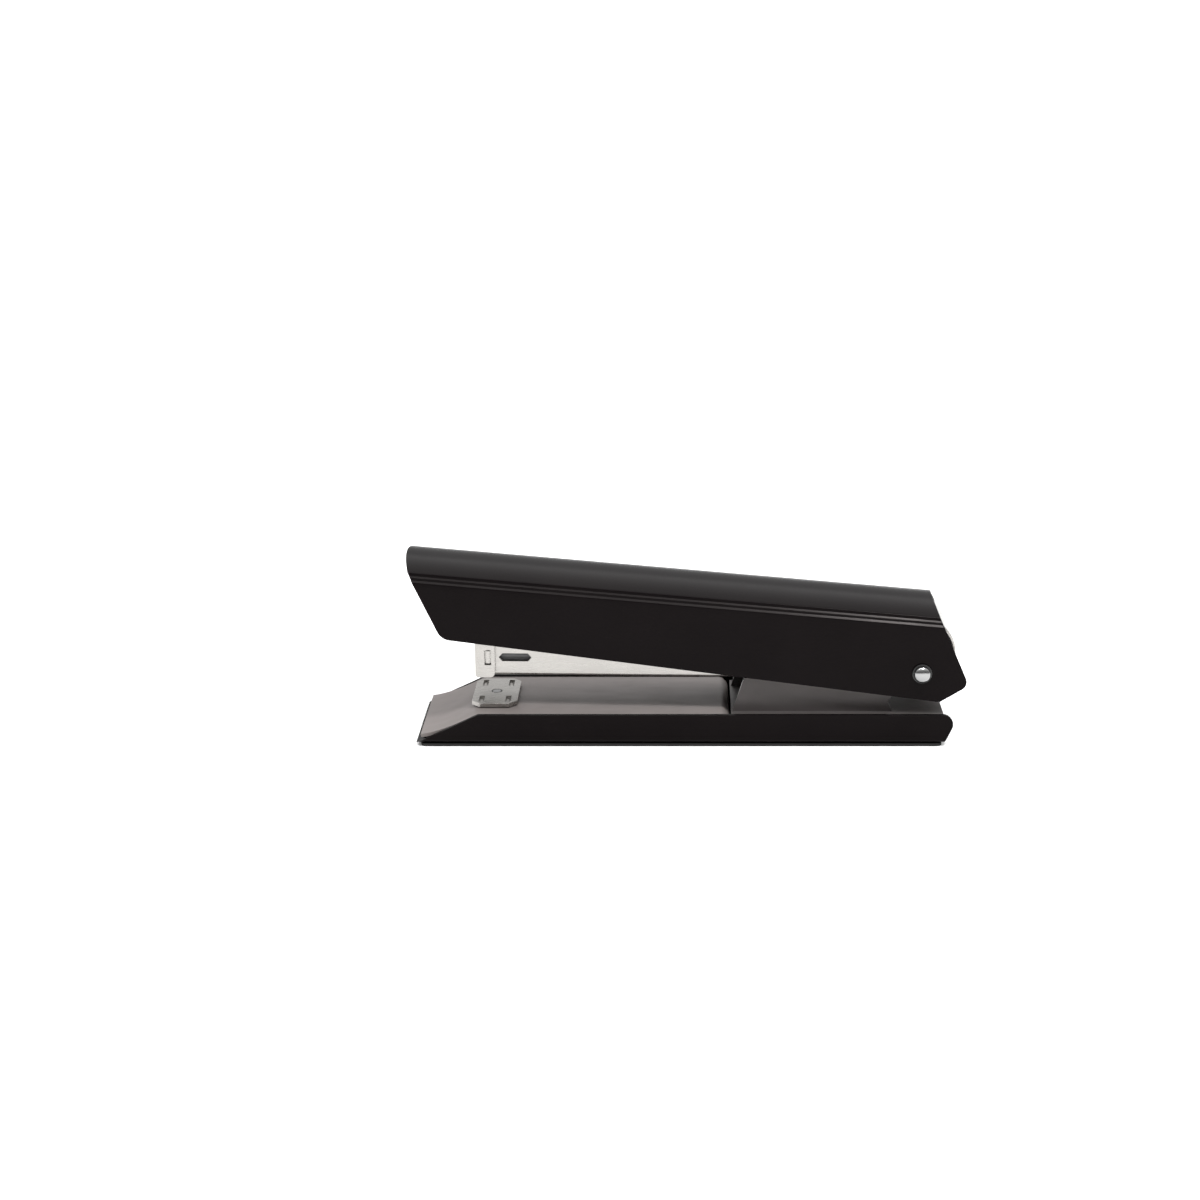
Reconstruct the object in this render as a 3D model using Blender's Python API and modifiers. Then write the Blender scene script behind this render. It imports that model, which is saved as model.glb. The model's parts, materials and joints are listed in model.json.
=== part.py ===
"""Desktop stapler with a full-length magazine, built as separate pieces on three pivoting bodies.

Metres, +Z up. The front (the nose, where the staple comes out) points to -X and the hinge is near
the +X end. The origin is the middle of the footprint, on the surface that the stapler stands on.
The magazine and the handle are each drawn level in a frame of their own, whose origin is the hinge
pin's axis, and an empty tilts each frame to its angle at rest.
"""
import bpy
import bmesh
from math import asin, cos, degrees, pi, radians, sin, tan
from mathutils import Euler, Matrix, Vector

MM = 0.001
GAP = 0.3 * MM                      # clearance kept between neighbouring pieces
CUT = 2.0 * MM                      # how far a cutter runs past what it cuts

# hinge pin, which the magazine and the handle turn on
HINGE_X = 64.25 * MM
HINGE_Z = 20.2 * MM
PIN_R = 1.5 * MM
PIN_HOLE_R = PIN_R + GAP
PIN_HEAD_R = 2.25 * MM
PIN_HEAD_H = 1.5 * MM
WASHER_R = 2.7 * MM
WASHER_T = 0.4 * MM
STACK_GAP = 0.15 * MM               # clearance along the pin, where pieces are thin
MAGAZINE_TILT = radians(0.6)
HANDLE_TILT = radians(5.1)

# base: pad, tray, deck and hinge bracket
BASE_FRONT = -73.9 * MM
BASE_REAR = 73.5 * MM
BASE_HALF_W = 17.0 * MM
PAD_T = 0.8 * MM
TRAY_BOTTOM = PAD_T + GAP
TRAY_TOP = 9.3 * MM
SHEET = 1.0 * MM
SLOPE_END = -56.8 * MM              # where the tray's sloping front edge meets its rim
TRAY_FOOT_REAR = 70.7 * MM
DECK_TOP = 8.9 * MM
DECK_HALF_W = BASE_HALF_W - SHEET - GAP
DECK_REAR = 10.8 * MM
RAMP_FRONT = -72.6 * MM
RAMP_END = -57.5 * MM
BRACKET_FRONT = 12.4 * MM
BRACKET_REAR = 70.6 * MM
BRACKET_TOP = 8.3 * MM              # top of the bracket's floor
EAR_OUT = 11.0 * MM
EAR_T = 1.2 * MM
EAR_BOSS_R = 5.0 * MM
RIVETS_X = (22.0 * MM, 50.0 * MM)
RIVET_HEAD_R = 2.6 * MM
LEAF_T = 0.5 * MM
RETURN_LEAF_HALF_W = 4.5 * MM
RETURN_LEAF_RISE = 7.2 * MM
SPACER_R = 3.0 * MM

# anvil
ANVIL_X = -52.85 * MM
ANVIL_HALF_L = 6.25 * MM
ANVIL_HALF_W = 10.4 * MM
ANVIL_T = 1.1 * MM
ANVIL_Z = DECK_TOP + GAP
ANVIL_CHAMFER = 2.2 * MM
STEM_R = 2.0 * MM
STEM_NECK_R = 1.2 * MM
BUTTON_R = 3.6 * MM
BUTTON_H = 1.8 * MM
ANVIL_SPRING_R = 2.9 * MM
ANVIL_SPRING_WIRE_R = 0.3 * MM
ANVIL_SPRING_TURNS = 4

# magazine, in its own frame: x from the pin, z from the pin
CHANNEL_FRONT = -121.2 * MM
CHANNEL_OUT = 7.5 * MM
CHANNEL_T = 0.8 * MM
CHANNEL_BOTTOM = -3.95 * MM
CHANNEL_TOP = 9.7 * MM
LUG_R = 5.0 * MM
EXIT_REAR = -119.9 * MM             # the floor stops here, and the staple leaves in front of it
GUIDE_FRONT = -122.3 * MM
GUIDE_REAR = -116.7 * MM
GUIDE_T = 0.8 * MM
GUIDE_BOTTOM = -4.2 * MM
GUIDE_TOP = 10.6 * MM
RAIL_OUT = 5.6 * MM
RAIL_TOP = 3.1 * MM
RAIL_REAR = -4.0 * MM
ROD_R = 1.1 * MM
ROD_Z = 0.1 * MM
FOLLOWER_FRONT = -119.3 * MM
FOLLOWER_L = 13.4 * MM
FOLLOWER_OUT = 6.4 * MM
STOP_FRONT = -14.5 * MM
STOP_REAR = -5.0 * MM
CROSS_X = -10.0 * MM
CROSS_R = 0.95 * MM
CROSS_HOLE_R = 1.2 * MM
WIDE = 20.0 * MM                    # half the length of a cutter that runs through both sides
SPRING_TURNS = 21
SPRING_R = 1.9 * MM
SPRING_WIRE_R = 0.28 * MM

# handle, in its own frame
RIDGE_Z = 18.6 * MM                 # top of the crown
CROWN_RISE = 2.9 * MM
CROWN_HALF_W = 12.4 * MM
COVER_HALF_W = 13.8 * MM
COVER_T = 1.0 * MM
NOSE_TOP_X = -142.8 * MM
NOSE_FOOT = (-131.0 * MM, -2.0 * MM)
HEEL_FRONT = (5.8 * MM, -7.9 * MM)
HEEL_REAR = (13.25 * MM, -2.5 * MM)
REAR_TOP_X = 1.7 * MM
FRAME_OUT = 12.2 * MM
FRAME_T = 0.8 * MM
FRAME_TOP = 13.9 * MM
BLADE_X = -120.8 * MM
BLADE_T = 0.7 * MM
BLADE_HALF_W = 6.3 * MM
BLADE_FOOT = -5.1 * MM
FRAME_RIVETS_X = (-114.5 * MM, -42.0 * MM)
FRAME_RIVET_HOLE_R = 1.5 * MM
HANDLE_LEAF_HALF_W = 6.9 * MM
HANDLE_LEAF_DROP = 8.0 * MM


# ---------------------------------------------------------------- scene and helpers

for old in list(bpy.data.objects):
    bpy.data.objects.remove(old, do_unlink=True)

parts = bpy.data.collections.new("stapler")
cutters = bpy.data.collections.new("cutters")
bpy.context.scene.collection.children.link(parts)
bpy.context.scene.collection.children.link(cutters)


def material(name, color, roughness, metallic=0.0):
    """A Principled material of one colour."""
    made = bpy.data.materials.new(name)
    made.use_nodes = True
    shader = made.node_tree.nodes["Principled BSDF"]
    shader.inputs["Base Color"].default_value = (*color, 1.0)
    shader.inputs["Roughness"].default_value = roughness
    shader.inputs["Metallic"].default_value = metallic
    return made


BLACK_PAINT = material("black_paint", (0.012, 0.011, 0.011), 0.28)
GREY_PAINT = material("grey_paint", (0.17, 0.15, 0.14), 0.45)
DARK_STEEL = material("dark_steel", (0.10, 0.095, 0.09), 0.40, 0.6)
NICKEL = material("nickel", (0.62, 0.60, 0.57), 0.28, 1.0)
CHROME = material("chrome", (0.80, 0.80, 0.80), 0.10, 1.0)
SPRING_STEEL = material("spring_steel", (0.45, 0.45, 0.46), 0.30, 1.0)
BLACK_PLASTIC = material("black_plastic", (0.02, 0.02, 0.02), 0.5)
RUBBER = material("rubber", (0.015, 0.015, 0.015), 0.8)


def frame_at_pin(name, tilt):
    """An empty on the pin's axis that tilts what is parented to it, nose up."""
    empty = bpy.data.objects.new(name, None)
    empty.location = (HINGE_X, 0.0, HINGE_Z)
    empty.rotation_euler = (0.0, tilt, 0.0)
    parts.objects.link(empty)
    return empty


MAGAZINE_FRAME = frame_at_pin("magazine_frame_axis", MAGAZINE_TILT)
HANDLE_FRAME = frame_at_pin("handle_frame_axis", HANDLE_TILT)


def add(name, mesh, look, frame=None, origin=(0.0, 0.0, 0.0)):
    """Puts a mesh into the parts collection, with its origin moved to a point of its frame."""
    mesh.transform(Matrix.Translation(-Vector(origin)))
    made = bpy.data.objects.new(name, mesh)
    made.location = origin
    made.parent = frame
    mesh.materials.clear()
    mesh.materials.append(look)
    parts.objects.link(made)
    return made


def cutter(name, mesh, frame=None):
    made = bpy.data.objects.new(name, mesh)
    made.parent = frame
    made.hide_render = True
    made.display_type = "WIRE"
    cutters.objects.link(made)
    return made


def combine(target, tool, operation="DIFFERENCE"):
    step = target.modifiers.new(tool.name, "BOOLEAN")
    step.operation = operation
    step.solver = "EXACT"
    step.object = tool


def box_mesh(low, high):
    """A box between two corners."""
    low, high = Vector(low), Vector(high)
    shape = bmesh.new()
    bmesh.ops.create_cube(shape, size=1.0)
    size = high - low
    place = Matrix.Translation((low + high) / 2) @ Matrix.Diagonal((*size, 1.0))
    bmesh.ops.transform(shape, matrix=place, verts=shape.verts)
    mesh = bpy.data.meshes.new("box")
    shape.to_mesh(mesh)
    shape.free()
    return mesh


TURN = {
    "X": Euler((0.0, pi / 2, 0.0)).to_matrix().to_4x4(),
    "Y": Euler((-pi / 2, 0.0, 0.0)).to_matrix().to_4x4(),
    "Z": Matrix.Identity(4),
}


def rod_mesh(middle, length, radius, axis="Y", sides=24):
    """A cylinder along one axis."""
    shape = bmesh.new()
    place = Matrix.Translation(middle) @ TURN[axis]
    bmesh.ops.create_cone(shape, cap_ends=True, segments=sides, radius1=radius, radius2=radius,
                          depth=length, matrix=place)
    mesh = bpy.data.meshes.new("rod")
    shape.to_mesh(mesh)
    shape.free()
    for face in mesh.polygons:
        face.use_smooth = len(face.vertices) == 4
    return mesh


def fillet(corners, steps=4):
    """Replaces each (x, y, radius) corner of an outline by an arc, and leaves radius 0 sharp."""
    outline = []
    for i, (x, y, radius) in enumerate(corners):
        here = Vector((x, y))
        if radius == 0.0:
            outline.append(here)
            continue
        to_last = (Vector(corners[i - 1][:2]) - here).normalized()
        to_next = (Vector(corners[(i + 1) % len(corners)][:2]) - here).normalized()
        half = to_last.angle(to_next) / 2
        reach = radius / tan(half)
        start = here + to_last * reach
        end = here + to_next * reach
        centre = here + (to_last + to_next).normalized() * (radius / sin(half))
        sweep = (start - centre).angle_signed(end - centre)
        for k in range(steps + 1):
            outline.append(centre + Matrix.Rotation(-sweep * k / steps, 2) @ (start - centre))
    return outline


FACING = {
    "Y": Euler((pi / 2, 0.0, 0.0)).to_matrix().to_4x4(),        # outline in x and z
    "X": Euler((pi / 2, 0.0, pi / 2)).to_matrix().to_4x4(),     # outline in y and z
    "Z": Matrix.Identity(4),                                    # outline in x and y
}


def plate_mesh(outline, low, high, axis="Y"):
    """A flat outline extruded along an axis from low to high, as a mesh."""
    curve = bpy.data.curves.new("outline", "CURVE")
    curve.dimensions = "2D"
    curve.fill_mode = "BOTH"
    curve.extrude = (high - low) / 2
    spline = curve.splines.new("POLY")
    spline.points.add(len(outline) - 1)
    for point, place in zip(spline.points, outline):
        point.co = (place[0], place[1], 0.0, 1.0)
    spline.use_cyclic_u = True
    holder = bpy.data.objects.new("outline", curve)
    bpy.context.scene.collection.objects.link(holder)
    graph = bpy.context.evaluated_depsgraph_get()
    mesh = bpy.data.meshes.new_from_object(holder.evaluated_get(graph))
    bpy.data.objects.remove(holder, do_unlink=True)
    bpy.data.curves.remove(curve)
    shape = bmesh.new()
    shape.from_mesh(mesh)
    bmesh.ops.remove_doubles(shape, verts=shape.verts, dist=1e-6)
    bmesh.ops.dissolve_limit(shape, angle_limit=radians(0.1), verts=shape.verts, edges=shape.edges)
    shift = {"X": (1, 0, 0), "Y": (0, 1, 0), "Z": (0, 0, 1)}[axis]
    place = Matrix.Translation(Vector(shift) * (low + high) / 2) @ FACING[axis]
    bmesh.ops.transform(shape, matrix=place, verts=shape.verts)
    bmesh.ops.recalc_face_normals(shape, faces=shape.faces)
    shape.to_mesh(mesh)
    shape.free()
    return mesh


def joined(*meshes):
    """Boolean union of closed meshes, as one mesh."""
    holders = [bpy.data.objects.new("piece", mesh) for mesh in meshes]
    for holder in holders:
        bpy.context.scene.collection.objects.link(holder)
    for other in holders[1:]:
        combine(holders[0], other, "UNION")
    graph = bpy.context.evaluated_depsgraph_get()
    mesh = bpy.data.meshes.new_from_object(holders[0].evaluated_get(graph))
    for holder in holders:
        bpy.data.objects.remove(holder, do_unlink=True)
    return mesh


def channel(half_width, low, high, sheet, up=True):
    """The outline of a folded U of sheet, open upward or downward, in y and z."""
    out, inner = half_width, half_width - sheet
    bottom, floor, rim = low, low + sheet, high
    if not up:
        bottom, floor, rim = high, high - sheet, low
    return [(-out, rim), (-out, bottom), (out, bottom), (out, rim),
            (inner, rim), (inner, floor), (-inner, floor), (-inner, rim)]


def arc(centre, radius, start, end, steps):
    """Points on an arc, angles in degrees from +x towards +y."""
    turns = [radians(start + (end - start) * k / steps) for k in range(steps + 1)]
    return [(centre[0] + radius * cos(t), centre[1] + radius * sin(t)) for t in turns]


def turned(name, profile, look, steps=24):
    """A profile of (radius, height) points, top to bottom on the outer side, turned about Z."""
    mesh = bpy.data.meshes.new(name)
    shape = bmesh.new()
    row = [shape.verts.new((radius, 0.0, height)) for radius, height in profile]
    for first, second in zip(row, row[1:]):
        shape.edges.new((first, second))
    shape.to_mesh(mesh)
    shape.free()
    made = add(name, mesh, look)
    screw = made.modifiers.new("turn", "SCREW")
    screw.steps = steps
    screw.render_steps = steps
    screw.use_merge_vertices = True
    screw.merge_threshold = 1e-6
    return made


def coil_object(name, start, end, radius, wire, turns, look, frame=None):
    """A closed-end coil spring between two points."""
    start, end = Vector(start), Vector(end)
    along = end - start
    spin = along.to_track_quat("Z", "Y")
    per_turn = 9
    count = turns * per_turn + 1
    curve = bpy.data.curves.new(name, "CURVE")
    curve.dimensions = "3D"
    curve.bevel_depth = wire
    curve.bevel_resolution = 1
    curve.use_fill_caps = True
    spline = curve.splines.new("POLY")
    spline.points.add(count - 1)
    for k, point in enumerate(spline.points):
        turn = 2 * pi * k / per_turn
        step = Vector((radius * cos(turn), radius * sin(turn), along.length * k / (count - 1)))
        point.co = (*(start + spin @ step), 1.0)
    made = bpy.data.objects.new(name, curve)
    made.parent = frame
    curve.materials.append(look)
    parts.objects.link(made)
    weld = made.modifiers.new("weld", "WELD")
    weld.merge_threshold = 1e-6
    return made


def leaf_mesh(middle_line, thickness, half_width):
    """A strip of sheet that follows a line of (x, z) points."""
    upper, lower = [], []
    for i, here in enumerate(middle_line):
        before = Vector(middle_line[max(i - 1, 0)])
        after = Vector(middle_line[min(i + 1, len(middle_line) - 1)])
        along = (after - before).normalized()
        side = Vector((-along.y, along.x)) * thickness / 2
        upper.append(Vector(here) + side)
        lower.append(Vector(here) - side)
    return plate_mesh(upper + lower[::-1], -half_width, half_width)


# ---------------------------------------------------------------- base

def tray_side():
    """Side outline of the tray: sloping sharp front, rounded and raked rear."""
    return fillet([
        (BASE_FRONT, TRAY_BOTTOM, 0.0),
        (TRAY_FOOT_REAR, TRAY_BOTTOM, 0.0),
        (BASE_REAR + 1.4 * MM, TRAY_TOP, 2.8 * MM),
        (SLOPE_END, TRAY_TOP, 0.0),
    ])


def make_pad():
    """Rubber pad under the tray, with a hole under the anvil's button."""
    outline = fillet([
        (BASE_FRONT + 1.2 * MM, -BASE_HALF_W + 0.5 * MM, 1.5 * MM),
        (TRAY_FOOT_REAR - 0.6 * MM, -BASE_HALF_W + 0.5 * MM, 1.5 * MM),
        (TRAY_FOOT_REAR - 0.6 * MM, BASE_HALF_W - 0.5 * MM, 1.5 * MM),
        (BASE_FRONT + 1.2 * MM, BASE_HALF_W - 0.5 * MM, 1.5 * MM),
    ])
    pad = add("base_pad", plate_mesh(outline, 0.0, PAD_T, "Z"), RUBBER)
    hole = cutter("pad_hole", rod_mesh((ANVIL_X, 0, 0), 4 * MM, BUTTON_R + 2 * GAP, "Z"))
    combine(pad, hole)


def make_tray():
    """Folded steel tray whose two walls slope down to the tip."""
    outline = channel(BASE_HALF_W, TRAY_BOTTOM, TRAY_TOP, SHEET)
    tray = add("base_tray", plate_mesh(outline, BASE_FRONT - CUT, BASE_REAR + CUT, "X"), BLACK_PAINT)
    side = plate_mesh(tray_side(), -BASE_HALF_W - CUT, BASE_HALF_W + CUT)
    combine(tray, cutter("tray_side", side), "INTERSECT")
    holes = [(ANVIL_X, BUTTON_R + GAP)] + [(x, PIN_R + GAP) for x in RIVETS_X]
    for i, (x, radius) in enumerate(holes):
        drill = rod_mesh((x, 0, TRAY_BOTTOM), 4 * MM, radius, "Z")
        combine(tray, cutter(f"tray_hole_{i}", drill))


def ramp_line(steps=10):
    """The deck's middle line at the front: a hollow ramp from the tray's lip up to the deck."""
    foot = TRAY_BOTTOM + SHEET + GAP + SHEET / 2
    top = DECK_TOP - SHEET / 2
    line = []
    for k in range(steps + 1):
        share = k / steps
        x = RAMP_FRONT + (RAMP_END - RAMP_FRONT) * share
        line.append((x, foot + (top - foot) * share ** 1.45))
    return line


def make_deck():
    """Grey top sheet: a hollow front ramp, a flat deck with flanges, and a turned-down rear lip."""
    top = DECK_TOP - SHEET / 2
    lip = [(DECK_REAR - 0.9 * MM, top), (DECK_REAR + 0.4 * MM, top - 1.3 * MM),
           (DECK_REAR + 0.8 * MM, top - 3.4 * MM)]
    skin = leaf_mesh(ramp_line() + lip, SHEET, DECK_HALF_W)
    foot = TRAY_BOTTOM + SHEET + GAP
    flanges = []
    for side in (-1, 1):
        low, high = sorted((side * DECK_HALF_W, side * (DECK_HALF_W - SHEET)))
        wall = [(RAMP_END + 1 * MM, foot), (DECK_REAR - 2 * MM, foot),
                (DECK_REAR - 2 * MM, top), (RAMP_END + 1 * MM, top)]
        flanges.append(plate_mesh(wall, low, high))
    deck = add("base_deck", joined(skin, *flanges), GREY_PAINT)
    combine(deck, cutter("deck_hole", rod_mesh((ANVIL_X, 0, DECK_TOP), 6 * MM, STEM_R + GAP, "Z")))


def ear_outline():
    """Side outline of the bracket's ears: raked front edge, boss round the pin, cut-away heel."""
    boss = arc((HINGE_X, HINGE_Z), EAR_BOSS_R, 100, -90, 12)
    return [
        (12.6 * MM, BRACKET_TOP - SHEET / 2),
        (56.8 * MM, BRACKET_TOP - SHEET / 2),
        (55.4 * MM, 11.0 * MM),
        (57.5 * MM, 14.4 * MM),
        *boss[::-1],
        (50.0 * MM, 21.5 * MM),
        (17.0 * MM, 18.4 * MM),
        (15.6 * MM, 17.0 * MM),
    ]


def make_bracket():
    """Steel bracket riveted into the tray, whose two ears hold the hinge pin."""
    foot = TRAY_BOTTOM + SHEET + GAP
    section = channel(DECK_HALF_W, foot, BRACKET_TOP, SHEET, up=False)
    floor = plate_mesh(section, BRACKET_FRONT, BRACKET_REAR, "X")
    ears = [plate_mesh(ear_outline(), *sorted((side * EAR_OUT, side * (EAR_OUT - EAR_T))))
            for side in (-1, 1)]
    bracket = add("hinge_bracket", joined(floor, *ears), DARK_STEEL)
    combine(bracket, cutter("bracket_bore", rod_mesh((HINGE_X, 0, HINGE_Z), 2 * WIDE, PIN_HOLE_R)))
    for i, x in enumerate(RIVETS_X):
        drill = rod_mesh((x, 0, BRACKET_TOP), 6 * MM, PIN_HOLE_R, "Z")
        combine(bracket, cutter(f"bracket_hole_{i}", drill))


def make_rivets():
    """Two rivets that hold the bracket down on the tray."""
    for name, x, lift in (("bracket_rivet_front", RIVETS_X[0], 0.0),
                          ("bracket_rivet_rear", RIVETS_X[1], LEAF_T + GAP)):
        head = BRACKET_TOP + GAP + lift
        profile = [(0.0, head + 1.3 * MM), (1.4 * MM, head + 1.1 * MM), (2.4 * MM, head + 0.5 * MM),
                   (RIVET_HEAD_R, head), (PIN_R, head), (PIN_R, TRAY_BOTTOM + 0.3 * MM),
                   (0.0, TRAY_BOTTOM + 0.3 * MM)]
        turned(name, profile, DARK_STEEL, 20).location.x = x


def make_return_spring():
    """Leaf spring that holds the magazine up off the base."""
    seat = BRACKET_TOP + GAP + LEAF_T / 2
    rise = [(46.0 * MM - k * 3.4 * MM, seat + RETURN_LEAF_RISE * (k / 8) ** 1.5)
            for k in range(1, 9)]
    tip = (15.8 * MM, seat + RETURN_LEAF_RISE - 0.2 * MM)
    line = [(56.0 * MM, seat), (46.0 * MM, seat), *rise, tip]
    leaf = add("return_spring", leaf_mesh(line[::-1], LEAF_T, RETURN_LEAF_HALF_W), SPRING_STEEL)
    hole = rod_mesh((RIVETS_X[1], 0, seat), 3 * MM, PIN_HOLE_R, "Z")
    combine(leaf, cutter("leaf_hole", hole))


def make_pin():
    """Hinge pin with a domed head, the cap on its far end, two washers and two spacers."""
    face = COVER_HALF_W + 2 * STACK_GAP + WASHER_T
    dome = arc((0.0, face + 0.4 * MM), PIN_HEAD_R, 90, 0, 6)
    squash = (PIN_HEAD_H - 0.4 * MM) / PIN_HEAD_R
    cap = [(r, face + 0.4 * MM + (h - face - 0.4 * MM) * squash) for r, h in dome]
    cap[0] = (0.0, cap[0][1])
    pin = turned("hinge_pin", [*cap, (PIN_HEAD_R, face), (PIN_R, face), (PIN_R, -face - 0.3 * MM),
                               (0.0, -face - 0.3 * MM)], CHROME, 32)
    socket = PIN_R + STACK_GAP
    end = turned("pin_cap", [*cap, (PIN_HEAD_R, face), (socket, face),
                             (socket, face + 0.5 * MM), (0.0, face + 0.5 * MM)], CHROME, 32)
    washer = (COVER_HALF_W + STACK_GAP, COVER_HALF_W + STACK_GAP + WASHER_T)
    spacer = (CHANNEL_OUT + GAP, EAR_OUT - EAR_T - GAP)
    rings = []
    for side_name, turn in (("near", pi / 2), ("far", -pi / 2)):
        for kind, (low, high), radius, look in (
                ("pin_washer_", washer, WASHER_R, BLACK_PLASTIC),
                ("pin_spacer_", spacer, SPACER_R, SPRING_STEEL)):
            bore = PIN_R + STACK_GAP
            profile = [(bore, low), (bore, high), (radius, high), (radius, low), (bore, low)]
            ring = turned(kind + side_name, profile, look, 24)
            rings.append((ring, turn))
    for made, turn in ((pin, pi / 2), (end, -pi / 2), *rings):
        made.location = (HINGE_X, 0.0, HINGE_Z)
        made.rotation_euler = (turn, 0.0, 0.0)


def make_anvil():
    """Turning anvil plate on a sprung stem, whose button is under the base."""
    chamfer = ANVIL_CHAMFER
    outline = [(sx * (ANVIL_HALF_L - cx), sy * (ANVIL_HALF_W - cy))
               for sx, sy, cx, cy in ((-1, -1, chamfer, 0), (1, -1, chamfer, 0), (1, -1, 0, chamfer),
                                      (1, 1, 0, chamfer), (1, 1, chamfer, 0), (-1, 1, chamfer, 0),
                                      (-1, 1, 0, chamfer), (-1, -1, 0, chamfer))]
    shape = plate_mesh(outline, ANVIL_Z, ANVIL_Z + ANVIL_T, "Z")
    shape.transform(Matrix.Translation((ANVIL_X, 0, 0)))
    plate = add("anvil_plate", shape, NICKEL, origin=(ANVIL_X, 0, ANVIL_Z))
    combine(plate, cutter("anvil_bore", rod_mesh((ANVIL_X, 0, ANVIL_Z), 6 * MM, STEM_NECK_R + GAP, "Z")))
    for i, (side_x, side_y) in enumerate(((-1, -1), (-1, 1), (1, -1), (1, 1))):
        middle = (ANVIL_X + side_x * 3.65 * MM, side_y * 6.6 * MM, ANVIL_Z + ANVIL_T)
        groove = rod_mesh(middle, 5.0 * MM, 0.65 * MM, "Y", 12)
        combine(plate, cutter(f"anvil_groove_{i}", groove))
    low = TRAY_BOTTOM
    stem = turned("anvil_stem", [
        (0.0, ANVIL_Z + ANVIL_T), (STEM_NECK_R, ANVIL_Z + ANVIL_T), (STEM_NECK_R, ANVIL_Z - GAP / 2),
        (STEM_R, ANVIL_Z - GAP), (STEM_R, low + BUTTON_H), (BUTTON_R, low + BUTTON_H),
        (BUTTON_R, low + 0.3 * MM), (BUTTON_R - 0.5 * MM, low), (0.0, low)], CHROME, 24)
    stem.location.x = ANVIL_X
    coil_object("anvil_spring", (ANVIL_X, 0, low + 2.5 * MM), (ANVIL_X, 0, DECK_TOP - SHEET - 0.7 * MM),
                ANVIL_SPRING_R, ANVIL_SPRING_WIRE_R, ANVIL_SPRING_TURNS, SPRING_STEEL)


# ---------------------------------------------------------------- magazine

def make_channel():
    """Nickel magazine channel: open top, hinge lugs at the back, a window in each side at the front."""
    outline = channel(CHANNEL_OUT, CHANNEL_BOTTOM, CHANNEL_TOP, CHANNEL_T)
    tray = plate_mesh(outline, CHANNEL_FRONT, LUG_R + CUT, "X")
    lugs = []
    for side in (-1, 1):
        low, high = sorted((side * (CHANNEL_OUT - GAP), side * (CHANNEL_OUT + CHANNEL_T)))
        lugs.append(box_mesh((-119.1 * MM, low, -0.2 * MM), (-118.1 * MM, high, 3.3 * MM)))
    body = add("magazine_channel", joined(tray, *lugs), NICKEL, MAGAZINE_FRAME)
    boss = arc((0.0, 0.0), LUG_R, 90, degrees(asin(CHANNEL_BOTTOM / LUG_R)), 12)
    side = [(CHANNEL_FRONT - CUT, CHANNEL_BOTTOM - CUT), (boss[-1][0], CHANNEL_BOTTOM - CUT),
            *boss[::-1], (-9.0 * MM, 5.2 * MM), (-16.0 * MM, CHANNEL_TOP + CUT),
            (CHANNEL_FRONT - CUT, CHANNEL_TOP + CUT)]
    combine(body, cutter("channel_side", plate_mesh(side, -WIDE, WIDE), MAGAZINE_FRAME),
            "INTERSECT")
    window = [(-115.7 * MM, 1.35 * MM), (-114.7 * MM, 0.2 * MM), (-107.7 * MM, 0.2 * MM),
              (-106.7 * MM, 1.35 * MM), (-107.7 * MM, 2.5 * MM), (-114.7 * MM, 2.5 * MM)]
    combine(body, cutter("channel_window", plate_mesh(window, -WIDE, WIDE), MAGAZINE_FRAME))
    mouth = box_mesh((CHANNEL_FRONT - CUT, -CHANNEL_OUT + CHANNEL_T, CHANNEL_BOTTOM - CUT),
                     (EXIT_REAR, CHANNEL_OUT - CHANNEL_T, CHANNEL_BOTTOM + CHANNEL_T + 0.1 * MM))
    combine(body, cutter("staple_exit", mouth, MAGAZINE_FRAME))
    combine(body, cutter("channel_bore", rod_mesh((0, 0, 0), 2 * WIDE, PIN_HOLE_R), MAGAZINE_FRAME))
    combine(body, cutter("channel_cross", rod_mesh((CROSS_X, 0, ROD_Z), 2 * WIDE, CROSS_HOLE_R, sides=16),
                         MAGAZINE_FRAME))


def make_front_guide():
    """Front guide: a cap wrapped round the channel's front end, with a slot in each side."""
    out = CHANNEL_OUT + GAP + GUIDE_T
    inner = CHANNEL_OUT + GAP
    face = GUIDE_FRONT + GUIDE_T
    plan = fillet([
        (GUIDE_FRONT, -out, 1.2 * MM), (GUIDE_REAR, -out, 0.0), (GUIDE_REAR, -inner, 0.0),
        (face, -inner, 0.4 * MM), (face, inner, 0.4 * MM), (GUIDE_REAR, inner, 0.0),
        (GUIDE_REAR, out, 0.0), (GUIDE_FRONT, out, 1.2 * MM)])
    wall = plate_mesh(plan, GUIDE_BOTTOM - CUT, GUIDE_TOP + CUT, "Z")
    guide = add("front_guide", wall, NICKEL, MAGAZINE_FRAME)
    side = fillet([
        (GUIDE_FRONT - CUT, GUIDE_BOTTOM, 0.0),
        (GUIDE_FRONT - CUT, GUIDE_TOP, 0.0),
        (GUIDE_REAR + CUT, GUIDE_TOP, 0.0),
        (GUIDE_REAR + CUT, GUIDE_BOTTOM + 1.4 * MM, 0.0),
        (GUIDE_REAR - 0.05 * MM, GUIDE_BOTTOM + 1.4 * MM, 0.0),
        (GUIDE_REAR - 0.05 * MM, GUIDE_BOTTOM, 1.3 * MM),
    ])
    combine(guide, cutter("guide_side", plate_mesh(side, -WIDE, WIDE), MAGAZINE_FRAME),
            "INTERSECT")
    slot = box_mesh((-119.5 * MM, -WIDE, -0.6 * MM), (-117.7 * MM, WIDE, 3.7 * MM))
    combine(guide, cutter("guide_slot", slot, MAGAZINE_FRAME))


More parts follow.
